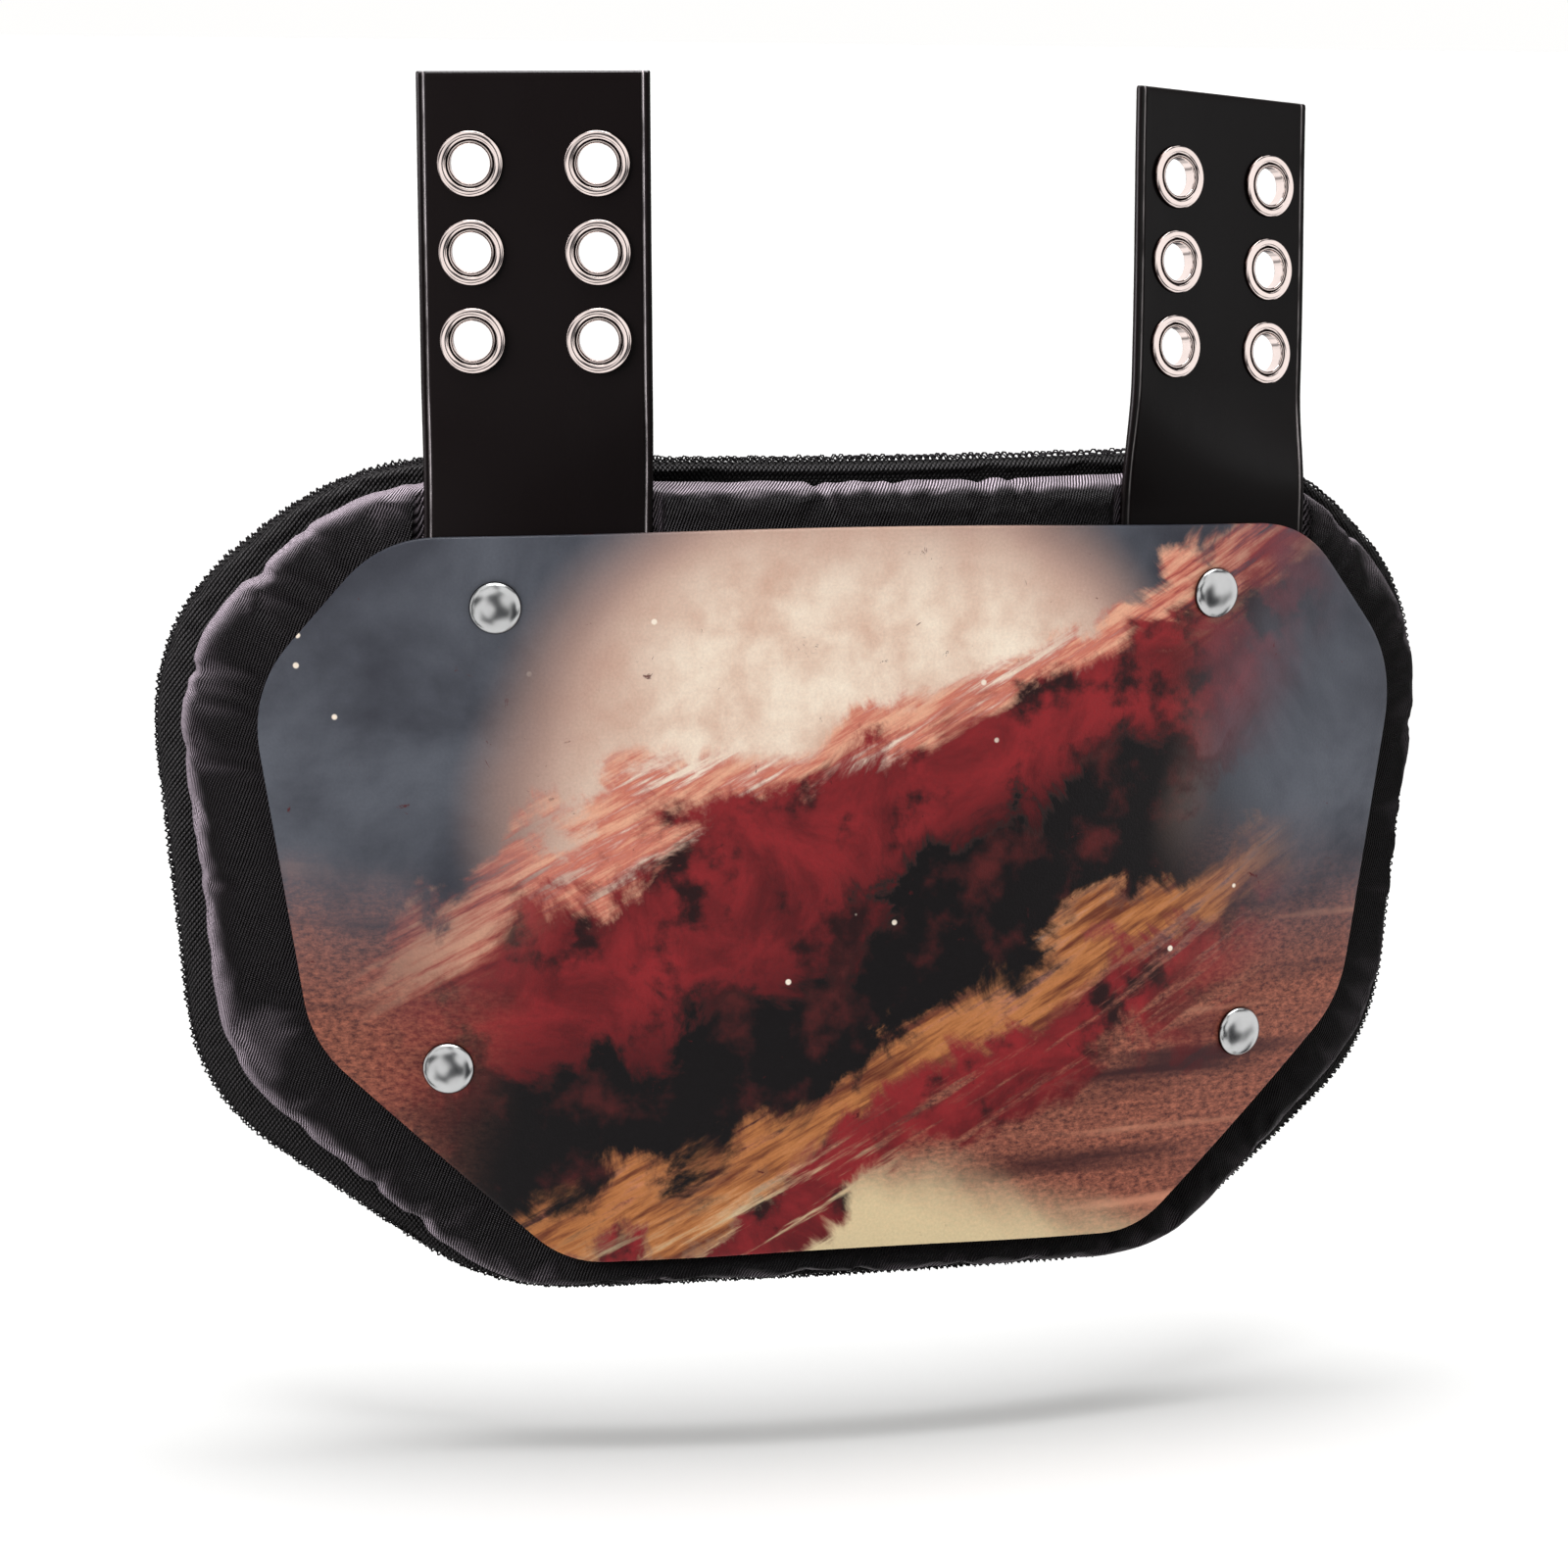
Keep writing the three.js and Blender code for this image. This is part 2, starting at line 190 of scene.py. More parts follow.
def outline(border, rim, inset, stations):
    """Evenly spaced points round an outline, clockwise from the middle of the top edge. Each
    corner is a quadratic curve between two points a cut away from it."""
    corner, cuts = corner_points(border, rim, inset)
    before = np.roll(corner, 1, axis=0) - corner
    after = np.roll(corner, -1, axis=0) - corner
    length_before = np.linalg.norm(before, axis=1)
    length_after = np.linalg.norm(after, axis=1)
    enter = corner + before * (np.minimum(cuts, length_before / 2) / length_before)[:, None]
    leave = corner + after * (np.minimum(cuts, length_after / 2) / length_after)[:, None]
    t = np.linspace(0, 1, 25)[None, :, None]
    curve = (1 - t) ** 2 * enter[:, None] + 2 * t * (1 - t) * corner[:, None] + t**2 * leave[:, None]
    path = curve.reshape(-1, 2)
    path = np.vstack([path[12:], path[:13]])
    travelled = np.concatenate([[0], np.cumsum(np.linalg.norm(np.diff(path, axis=0), axis=1))])
    wanted = np.linspace(0, travelled[-1], stations, endpoint=False)
    return np.stack([np.interp(wanted, travelled, path[:, axis]) for axis in range(2)], axis=-1)


def outward_normals(loop):
    """The outward normal at each point of a clockwise loop: its tangent turned a quarter left."""
    tangent = np.roll(loop, -1, axis=0) - np.roll(loop, 1, axis=0)
    normal = np.stack([-tangent[:, 1], tangent[:, 0]], axis=-1)
    return normal / np.linalg.norm(normal, axis=1, keepdims=True)


def nearest_station(points, loop):
    """For each flat point (along, up), the number of the loop's nearest station."""
    found = np.zeros(len(points), int)
    for start in range(0, len(points), 20000):
        block = points[start : start + 20000]
        gap = ((block[:, None, :] - loop[None, :, :]) ** 2).sum(-1)
        found[start : start + 20000] = gap.argmin(1)
    return found


# Meshes


def new_object(name, points, faces, smooth=True):
    """A mesh object at the origin from an array of points in metres and a list of faces."""
    mesh = bpy.data.meshes.new(name)
    mesh.from_pydata(np.asarray(points).tolist(), [], faces)
    mesh.validate()
    if smooth:
        mesh.shade_smooth()
    obj = bpy.data.objects.new(name, mesh)
    bpy.context.scene.collection.objects.link(obj)
    return obj


def ring_faces(rings, stations, closed_ends=True):
    """Quads between neighbouring rings of a closed tube, and fans to the two end points, which
    follow the last ring in the list of points."""
    ring, station = np.meshgrid(np.arange(rings - 1), np.arange(stations), indexing="ij")
    here = ring * stations + station
    beside = ring * stations + (station + 1) % stations
    quads = np.stack([here, beside, beside + stations, here + stations], -1).reshape(-1, 4)
    faces = quads.tolist()
    if closed_ends:
        i = np.arange(stations)
        j = (i + 1) % stations
        first = rings * stations
        last = (rings - 1) * stations
        faces += np.stack([j, i, np.full(stations, first)], -1).tolist()
        faces += np.stack([last + i, last + j, np.full(stations, first + 1)], -1).tolist()
    return faces


def filled_grid(rows, stations, inner_shares):
    """The flat points of a closed body, ring by ring from front to back. Each row is a loop with
    its depth, and the first and last loops are filled by smaller copies of themselves."""

    def shrunk(loop, depth):
        centre = loop.mean(0)
        return [(centre + share * (loop - centre), depth) for share in inner_shares]

    every = shrunk(*rows[0]) + list(rows) + shrunk(*rows[-1])[::-1]
    return np.stack([
        np.column_stack([loop[:, 0], np.broadcast_to(depth, stations), loop[:, 1]])
        for loop, depth in every
    ])


def refined(grid):
    """The grid with a point halfway between each two, on the smooth curve through their four
    nearest: (9 (a + b) - (before + after)) / 16. Rings close on themselves."""

    def halved(points):
        return (9 * (points[1:-2] + points[2:-1]) - (points[:-3] + points[3:])) / 16

    around = np.concatenate([grid[:, -1:], grid, grid[:, :2]], axis=1).swapaxes(0, 1)
    between = halved(around).swapaxes(0, 1)
    wide = np.stack([grid, between], axis=2).reshape(len(grid), -1, 3)
    ends = np.concatenate([wide[:1], wide, wide[-1:]])
    rings = np.empty((2 * len(wide) - 1, wide.shape[1], 3))
    rings[::2] = wide
    rings[1::2] = halved(ends)
    return rings


def grid_body(name, flat):
    """A mesh through the rings of a flat grid, closed at each end by a fan to a middle point."""
    ends = flat[[0, -1]].mean(1)
    points = np.vstack([flat.reshape(-1, 3), ends])
    return new_object(name, bend(points), ring_faces(*flat.shape[:2])), points


def grid_of(obj, shape):
    """The flat grid of a body made by grid_body, without its two end points."""
    return unbend(read_points(obj))[:-2].reshape(shape)


def set_vector_attribute(obj, name, values):
    """Stores a vector for each point, for the shaders to read."""
    attribute = obj.data.attributes.new(name, "FLOAT_VECTOR", "POINT")
    attribute.data.foreach_set("vector", np.asarray(values, np.float32).ravel())


def read_points(obj):
    """The object's points as an array."""
    co = np.zeros(len(obj.data.vertices) * 3)
    obj.data.vertices.foreach_get("co", co)
    return co.reshape(-1, 3)


def write_points(obj, points):
    """Moves the object's points."""
    obj.data.vertices.foreach_set("co", np.asarray(points, float).ravel())
    obj.data.update()


def apply_modifiers(obj):
    """Replaces the object's mesh by what its modifiers make of it."""
    depsgraph = bpy.context.evaluated_depsgraph_get()
    made = bpy.data.meshes.new_from_object(obj.evaluated_get(depsgraph))
    obj.modifiers.clear()
    obj.data = made


# Shader maths


def maths(operation, swapped=False):
    """A method that joins a socket and another value by one maths node."""

    def method(self, other):
        pair = (other, self) if swapped else (self, other)
        return self.graph.node("ShaderNodeMath", {"operation": operation}, *pair)

    return method


class Socket:
    """One output socket of a node tree, which can be used in plain expressions."""

    __add__ = __radd__ = maths("ADD")
    __sub__ = maths("SUBTRACT")
    __rsub__ = maths("SUBTRACT", swapped=True)
    __mul__ = maths("MULTIPLY")
    __pow__ = maths("POWER")

    def __init__(self, graph, link):
        self.graph = graph
        self.link = link

    def __neg__(self):
        return self * -1

    def __abs__(self):
        return self.graph.node("ShaderNodeMath", {"operation": "ABSOLUTE"}, self)

    def sin(self):
        return self.graph.node("ShaderNodeMath", {"operation": "SINE"}, self)

    def ramp(self, low, high, start=0, end=1):
        """Eases from start to end as the value goes from low to high, and stops there."""
        return self.graph.node(
            "ShaderNodeMapRange", {"interpolation_type": "SMOOTHSTEP"}, self, low, high, start, end
        )


class Graph:
    """A node tree that is built by expressions on its sockets."""

    def __init__(self, tree):
        self.tree = tree

    def node(self, kind, options, *values, output=0, **named):
        """Adds a node of this kind, sets its options first and then its sockets, by order or by
        name, and returns one output."""
        node = self.tree.nodes.new(kind)
        for key, value in options.items():
            setattr(node, key, value)
        pairs = list(enumerate(values)) + [(k.replace("_", " "), v) for k, v in named.items()]
        for key, value in pairs:
            if isinstance(value, Socket):
                self.tree.links.new(value.link, node.inputs[key])
            else:
                node.inputs[key].default_value = value
        return None if output is None else Socket(self, node.outputs[output])

    def coordinates(self, output="Object"):
        return self.node("ShaderNodeTexCoord", {}, output=output)

    def split(self, vector):
        node = self.node("ShaderNodeSeparateXYZ", {}, vector).link.node
        return [Socket(self, node.outputs[i]) for i in range(3)]

    def join(self, x, y, z):
        return self.node("ShaderNodeCombineXYZ", {}, x, y, z)

    def scaled(self, vector, x, y, z):
        return self.node("ShaderNodeVectorMath", {"operation": "MULTIPLY"}, vector, (x, y, z))

    def noise(self, vector, scale, detail=3.0, roughness=0.5, distortion=0.0):
        return self.node(
            "ShaderNodeTexNoise", {}, Vector=vector, Scale=scale, Detail=detail,
            Roughness=roughness, Distortion=distortion,
        )

    def cells(self, vector, scale):
        """The distance to the nearest of scattered points."""
        return self.node("ShaderNodeTexVoronoi", {}, Vector=vector, Scale=scale)

    def mix(self, share, a, b):
        """A colour between a and b, by share."""
        node = self.node("ShaderNodeMix", {"data_type": "RGBA", "clamp_factor": True}).link.node
        for number, value in ((0, share), (6, a), (7, b)):
            if isinstance(value, Socket):
                self.tree.links.new(value.link, node.inputs[number])
            else:
                node.inputs[number].default_value = value
        return Socket(self, node.outputs[2])


class Shader(Graph):
    """A material with one Principled BSDF."""

    def __init__(self, name, **constants):
        self.material = bpy.data.materials.new(name)
        self.material.use_nodes = True
        super().__init__(self.material.node_tree)
        self.surface = self.tree.nodes["Principled BSDF"]
        for socket, value in constants.items():
            self.surface.inputs[socket.replace("_", " ")].default_value = value

    def attribute(self, name):
        """The vector that set_vector_attribute stored under this name."""
        return self.node("ShaderNodeAttribute", {"attribute_name": name}, output="Vector")

    def bump(self, height, strength, distance):
        return self.node("ShaderNodeBump", {}, Height=height, Strength=strength, Distance=distance)

    def use(self, **sockets):
        """Links what changes over the surface to the shader's own sockets."""
        for name, value in sockets.items():
            self.tree.links.new(value.link, self.surface.inputs[name.replace("_", " ")])
        return self.material


def rgb(red, green, blue):
    """A colour as read from a screen, from 0 to 255, made linear."""
    screen = np.array([red, green, blue]) / 255
    linear = np.where(screen <= 0.04045, screen / 12.92, ((screen + 0.055) / 1.055) ** 2.4)
    return (*linear.tolist(), 1.0)


# Finishes


def printed_plastic():
    """Satin plastic with an abstract print: dark slate mist round a mottled warm glow, rust dust
    low down, and a torn sweep of crimson, black and ochre with dry brush marks. The fine grain of
    the moulded face lies over all of it."""
    s = settings()
    shader = Shader("printed_plastic", Specular_IOR_Level=0.25)
    flat = shader.attribute("flat")
    along, _, up = shader.split(flat)
    mist = shader.noise(flat, 1.6, 5, 0.6, 0.4)
    soft = shader.noise(flat, 0.9, 2, 0.4)
    mottle = shader.noise(flat, 5, 6, 0.6)
    dust = shader.noise(shader.scaled(flat, 42, 1, 80), 1, 5, 0.8)
    rows = shader.noise(shader.scaled(flat, 0.7, 1, 9), 1, 3)
    sky = shader.mix(mist.ramp(0.3, 0.7), tuple(s.slate), rgb(92, 96, 106))
    near_middle = 1.15 - (along * 0.8 + 0.05) ** 2 * 1.15 - (up - 0.3) ** 2 * 1.1
    glow = near_middle + (soft - 0.5) * 0.7
    warm = shader.mix(mottle.ramp(0.3, 0.75), tuple(s.cream), rgb(216, 176, 154))
    halo = shader.mix(glow.ramp(0.25, 0.72), sky, rgb(196, 158, 142))
    ground = shader.mix(glow.ramp(0.5, 0.95), halo, warm)
    rust = shader.mix(dust.ramp(0.3, 0.75), rgb(66, 20, 18), rgb(196, 116, 88))
    rust = shader.mix(rows.ramp(0.5, 0.72), rust, rgb(58, 16, 16))
    rust = shader.mix(rows.ramp(0.42, 0.3), rust, rgb(206, 138, 108))
    stands = (0.12 - up + (mist - 0.5) * 0.6).ramp(0.0, 0.5)
    ground = shader.mix(stands * 0.92, ground, rust)
    pale = (-up - abs(along) * 0.3 + (mist - 0.5) * 0.3).ramp(0.6, 0.86)
    ground = shader.mix(pale * 0.85, ground, rgb(232, 212, 168))

    torn = shader.noise(flat, 3.4, 7, 0.66, 0.6)
    dry = shader.noise(shader.join(along * 0.9 + up * 0.5, 0.0, up * 9 - along * 5), 2.2, 5, 0.65)
    sweep = up - along * 0.42 + (torn - 0.5) * 0.62 + (soft - 0.5) * 0.9

    def band(centre, width, edge=0.05):
        """1 inside a torn band round this place of the sweep."""
        return abs(sweep - centre).ramp(width + edge, width - edge)

    red = shader.mix(torn.ramp(0.35, 0.65), tuple(s.crimson), rgb(92, 12, 18))
    red = shader.mix(mottle.ramp(0.5, 0.64), red, rgb(40, 10, 12))
    blush = shader.mix(dry.ramp(0.4, 0.62), rgb(190, 62, 52), rgb(232, 172, 142))
    dark = shader.mix(mottle.ramp(0.5, 0.72), rgb(13, 9, 11), rgb(86, 24, 24))
    ochre = shader.mix(dry.ramp(0.35, 0.65), rgb(222, 144, 78), rgb(104, 46, 26))
    near = abs(along + (soft - 0.5) * 1.2).ramp(1.4, 0.8)
    paint = shader.mix(band(0.38, 0.11) * near * dry.ramp(0.36, 0.5), ground, blush)
    paint = shader.mix(band(0.14, 0.2) * near, paint, red)
    paint = shader.mix(band(-0.2, 0.2) * near, paint, dark)
    paint = shader.mix(band(-0.46, 0.08) * near * dry.ramp(0.34, 0.5), paint, ochre)
    paint = shader.mix(band(-0.66, 0.13) * near * dry.ramp(0.35, 0.5), paint, red)

    blots = shader.noise(flat, 14, 5, 0.7, 0.8).ramp(0.66, 0.71)
    paint = shader.mix(blots * mist.ramp(0.4, 0.55), paint, rgb(84, 12, 16))
    embers = shader.cells(flat, 7).ramp(0.07, 0.045) * shader.noise(flat, 1.7, 2).ramp(0.5, 0.58)
    paint = shader.mix(embers, paint, rgb(255, 240, 222))

    fine = shader.noise(flat, 130, 2, 0.6)
    paint = shader.mix((fine - 0.5) * 0.3 + 0.06, paint, rgb(26, 26, 32))
    grain = shader.noise(flat, 150, 3, 0.6)
    return shader.use(
        Base_Color=paint, Roughness=0.32 + fine * 0.12, Normal=shader.bump(grain, 0.25, 0.0004)
    )


def ribbed_nylon():
    """Near-black nylon with fine slanted ribs and a faint cross thread. A painted sheen lightens the
    ribs to a lilac grey over the roll towards the ridge, and the grooves between them a little. The
    sheen fades again where the cloth tucks in behind the seam."""
    s = settings()
    shader = Shader("ribbed_nylon", Specular_IOR_Level=0.05, Coat_Roughness=0.4, Coat_IOR=1.5)
    along, turned, up = shader.split(shader.attribute("cloth"))
    wander = shader.noise(shader.attribute("cloth"), 0.12, 2)
    ribs = ((along * 0.94 - up * 0.34 + wander * 0.6) * (FULL_TURN / s.rib_gap)).sin()
    threads = ((along * 0.34 + up * 0.94) * (FULL_TURN / 0.55)).sin()
    height = ribs + threads * 0.35
    # Painted sheen: how far the cloth has turned down sets how much lighter its colour is made, in place
    # of the light that the roll catches from the left and above.
    painted_roll_sheen = turned.ramp(0.25, 3.2) * turned.ramp(8.0, 10.5, 1, 0.3)
    rib_tops = shader.mix(painted_roll_sheen, rgb(7, 6, 6), rgb(118, 110, 116))
    between = shader.mix(painted_roll_sheen, rgb(3, 2, 3), rgb(18, 15, 17))
    colour = shader.mix(ribs.ramp(-0.6, 0.8), between, rib_tops)
    patch = shader.noise(shader.coordinates(), 26, 3)
    roughness = 0.42 - ribs * 0.06 + (patch - 0.5) * 0.12
    return shader.use(
        Base_Color=colour, Roughness=roughness, Coat_Weight=painted_roll_sheen * ribs.ramp(-0.3, 0.6, 0.0, 0.14),
        Normal=shader.bump(height, 0.9, 0.00026),
    )


def knitted_mesh():
    """Black spacer mesh: rows of small open cells between raised loops of thread, with painted shade
    darkening the cells.
    """
    s = settings()
    shader = Shader("knitted_mesh", Roughness=0.6, Specular_IOR_Level=0.1)
    cloth = shader.attribute("cloth")
    along, _, up = shader.split(cloth)
    wide = FULL_TURN / s.cell
    first = ((along + up * 0.8) * wide * 0.72).sin()
    second = ((along - up * 0.8) * wide * 0.72).sin()
    loops = abs(first) + abs(second) + (shader.noise(cloth, 1.3, 2) - 0.5) * 0.7
    # Painted shade: the colour darkens from the raised loops down into the open cells.
    colour = shader.mix(loops.ramp(0.55, 1.7), rgb(1, 1, 1), rgb(13, 12, 12))
    return shader.use(Base_Color=colour, Normal=shader.bump(loops, 1.0, 0.0007))


def loop_thread():
    """The black thread of the loops along the mesh's rim."""
    shader = Shader("loop_thread", Roughness=0.7, Specular_IOR_Level=0.03)
    tone = shader.noise(shader.coordinates(), 900, 2)
    return shader.use(Base_Color=shader.mix(tone, rgb(5, 5, 5), rgb(20, 19, 20)))


def glossy_vinyl():
    """Smooth black coated strap with faint wipe marks, and a painted highlight: a broken bright stripe
    of colour along the groove inside each side edge, where the rounded hem catches the light."""
    s = settings()
    shader = Shader("glossy_vinyl", Specular_IOR_Level=0.06)
    here = shader.coordinates()
    across, _, _ = shader.split(shader.attribute("strap"))
    tone = shader.noise(here, 14, 3)
    wipe = shader.noise(shader.scaled(here, 1, 1, 0.25), 60, 4, 0.6)
    colour = shader.mix(tone, rgb(5, 3, 3), rgb(9, 7, 7))
    # Painted highlight: a narrow bright stripe of colour along each groove, broken up by noise, in place
    # of the light on the strap's rounded side edges.
    from_highlight_line = abs(abs(across) - (s.strap_width / 2 - HEM))
    painted_edge_highlight = from_highlight_line.ramp(0.34, 0.12) * shader.noise(here, 90, 2).ramp(0.3, 0.6, 0.25, 1)
    colour = shader.mix(painted_edge_highlight, colour, rgb(104, 100, 100))
    grain = shader.noise(here, 1600, 2)
    return shader.use(
        Base_Color=colour, Roughness=0.2 + wipe * 0.12, Normal=shader.bump(grain, 0.12, 0.00006)
    )


def polished_metal(name, colour, polish, shaded_grooves):
    """Bright plated metal with softly worn patches and painted shade: each groove, given by its radius
    and half its width in millimetres, is darkened to a brown near-black ring of colour for the shade
    that falls in it. polish is its lowest roughness."""
    shader = Shader(name, Metallic=1.0)
    x, _, z = shader.split(shader.attribute("turned"))
    radius = (x * x + z * z) ** 0.5
    here = shader.coordinates()
    haze = shader.noise(here, 240, 3)
    tone = shader.mix(haze, colour, tuple(0.82 * c for c in colour[:3]) + (1.0,))
    # Painted shade: a dark brown ring of colour in each groove and at the rim where the piece meets the
    # face beneath it.
    for middle, half in shaded_grooves:
        tone = shader.mix(abs(radius - middle).ramp(half, half * 0.4), tone, rgb(62, 46, 42))
    return shader.use(Base_Color=tone, Roughness=polish + haze * 0.08)


def pale_floor():
    """Even white studio paper."""
    shader = Shader("pale_floor", Roughness=0.9, Specular_IOR_Level=0.0)
    tone = shader.noise(shader.coordinates(), 6, 2)
    return shader.use(Base_Color=shader.mix(tone, (0.985, 0.985, 0.98, 1), (0.995, 0.995, 0.99, 1)))


# Pieces


def finish_piece(obj, material, slot, *nodes):
    """Gives a piece its finish and its body, and hides the CAD nodes that it stands for."""
    obj.data.materials.clear()
    obj.data.materials.append(material)
    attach(obj, BODY)
    if nodes:
        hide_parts(*nodes)
    return obj


def strap_axes(seat):
    """The three directions of a hung strap: across it, into its thickness and up along it."""
    spun = Matrix.Rotation(np.radians(seat.turn), 3, "Z")
    swung = Matrix.Rotation(np.radians(-seat.swing), 3, "Y")
    tipped = Matrix.Rotation(np.radians(-seat.tip), 3, "X")
    return np.array(tipped @ spun @ swung)


def eyelet_height(hand, row):
    """The height of a row of eyelets, counted from the top row, in the flat drawing."""
    return HANG_HEIGHT + STRAP_SEATS[hand].raised + ((EYELET_ROWS - 1) / 2 - row) * EYELET_ROW_GAP


def strap_hang(hand):
    """Where a strap leaves the bend at the plate's top edge, the directions it then hangs in, and
    the height from which it is flat."""
    seat = STRAP_SEATS[hand]
    edge = bend(np.array([seat.centre, nylon_front(), PLATE_HEIGHT / 2]))
    flat_from = eyelet_height(hand, EYELET_ROWS - 1) - EYELET_FLANGE - CLEARANCE
    return edge, strap_axes(seat), flat_from


def strap_points(hand, across, deep, up):
    """Points of a strap in the part's frame: on the bend behind the plate, easing into a flat
    sheet above it. deep runs from the strap's front face."""
    edge, axes, flat_from = strap_hang(hand)
    across, deep, up = np.broadcast_arrays(np.asarray(across, float), deep, up)
    on_bend = bend(np.stack([STRAP_SEATS[hand].centre + across, nylon_front() + deep, up], -1))
    own = np.stack([across, deep, up - PLATE_HEIGHT / 2], -1) * MM
    flat = edge + own @ axes.T
    ease = smoothstep(up, PLATE_HEIGHT / 2, flat_from)[..., None]
    return on_bend * (1 - ease) + flat * ease


def strap_coordinates(hand, points):
    """Where points of a strap lie across it and up along it: strap_points() taken backwards."""
    edge, axes, flat_from = strap_hang(hand)
    hung = (points - edge) @ axes / MM + (0, 0, PLATE_HEIGHT / 2)
    on_bend = unbend(points) - (STRAP_SEATS[hand].centre, nylon_front(), 0)
    ease = smoothstep(hung[:, 2:], PLATE_HEIGHT / 2, flat_from)
    return on_bend * (1 - ease) + hung * ease


def behind_straps(flat):
    """How deep a pad must lie to pass behind the straps: the depth of the strap's back face and
    its clearance under a strap, and nothing well away from one."""
    s = settings()
    half = s.strap_width / 2
    up = flat[:, 2]
    needed = np.full(len(flat), -100.0)
    for hand, seat in STRAP_SEATS.items():
        across = flat[:, 0] - seat.centre
        near = (np.abs(across) < half + 8) & (up > STRAP_FOOT - 8)
        back = unbend(strap_points(hand, np.clip(across, -half, half), s.strap_thickness, up))
        outside = smoothstep(np.abs(across), half + 0.4, half + 6)
        below = smoothstep(STRAP_FOOT - up, 0.4, 6)
        limit = back[:, 1] + 0.45 - 7 * np.maximum(outside, below)
        needed = np.where(near, np.maximum(needed, limit), needed)
    return needed


def gathers(stations, length, count, seed, deepest):
    """How far a sewn edge is pulled in at each of its stations: a few narrow notches at uneven
    places, and a slight ripple between them."""
    random = np.random.default_rng(seed)
    at = np.linspace(0, length, stations, endpoint=False)
    pulled = np.zeros(stations)
    places = random.uniform(0, length, count)
    widths = random.uniform(1.3, 3.2, count)
    pulls = random.uniform(0.25, 1, count) ** 1.6
    for place, width, pull in zip(places, widths, pulls):
        gap = (at - place + length / 2) % length - length / 2
        pulled += pull * deepest * np.exp(-((gap / width) ** 2))
    ripple = np.zeros(stations)
    for waves in (31, 47, 73):
        ripple += np.sin(2 * np.pi * waves * at / length + random.uniform(0, 6.28))
    return pulled + 0.09 * (ripple + 3)


def puff(obj, held, pressure, spare):
    """Lets a pad's cloth swell under pressure with Blender's cloth simulation. The points that
    are held stay, and the cloth has some length to spare."""
    start = read_points(obj)
    group = obj.vertex_groups.new(name="held")
    group.add(np.flatnonzero(held).tolist(), 1.0, "REPLACE")
    cloth = obj.modifiers.new("cloth", "CLOTH")
    wanted = {
        "quality": 5, "mass": 0.3, "tension_stiffness": 12, "compression_stiffness": 12,
        "shear_stiffness": 4, "bending_stiffness": 0.2, "use_pressure": True,
        "uniform_pressure_force": pressure, "shrink_min": -spare, "vertex_group_mass": "held",
    }
    for setting, value in wanted.items():
        setattr(cloth.settings, setting, value)
    cloth.settings.effector_weights.gravity = 0
    cloth.collision_settings.use_collision = False
    scene = bpy.context.scene
    for number in range(1, PUFF_FRAMES + 1):
        scene.frame_set(number)
    depsgraph = bpy.context.evaluated_depsgraph_get()
    swollen = np.zeros(len(start) * 3)
    obj.evaluated_get(depsgraph).data.vertices.foreach_get("co", swollen)
    obj.modifiers.remove(cloth)
    obj.vertex_groups.remove(group)
    scene.frame_set(1)
    moved = swollen.reshape(-1, 3) - start
    length = np.linalg.norm(moved, axis=1, keepdims=True)
    moved *= np.minimum(1, PUFF_LIMIT / np.maximum(length, 1e-9))
    write_points(obj, start + moved)


def puffed(name, flat, first, last, pressure, spare):
    """A flat grid after its cloth has swollen between two of its rings."""
    pad, _ = grid_body(name, flat)
    ring = np.broadcast_to(np.arange(len(flat))[:, None], flat.shape[:2])
    held = (ring < first) | (ring > last)
    puff(pad, np.append(held.ravel(), [True, True]), pressure, spare)
    flat = grid_of(pad, flat.shape)
    bpy.data.objects.remove(pad)
    return flat


def cloth_coordinates(flat, front_depth):
    """Where each point lies on its cloth when that is laid flat, in millimetres: its place in the
    drawing, moved outwards by how far the cloth has turned down behind the front. The move fades
    away from the rim. The middle number is how far it has turned down."""
    ridge = outline(1, 0, 0, 720)
    place = flat[:, [0, 2]]
    station = nearest_station(place, ridge)
    inside = np.linalg.norm(place - ridge[station], axis=1)
    turned = np.maximum(flat[:, 1] - front_depth, 0)
    move = turned * smoothstep(inside, 60, 15)
    laid = place + outward_normals(ridge)[station] * move[:, None]
    return np.column_stack([laid[:, 0], turned, laid[:, 1]])


def build_plate():
    """The bent plate, with a rounded front edge."""
    t = settings().plate_thickness
    edge = ((0.7, 0), (0.32, 0.06), (0.08, 0.28), (0, 0.7), (0, t - 0.3), (0.25, t))
    rows = [(outline(0, 0, inset, PLATE_STATIONS), depth) for inset, depth in edge]
    flat = filled_grid(rows, PLATE_STATIONS, np.linspace(0.02, 0.985, 26))
    plate, flat = grid_body("printed_plate", flat)
    set_vector_attribute(plate, "flat", flat / 100)
    finish_piece(plate, printed_plastic(), "plate", "face_plate")
    leave_unlit(plate)


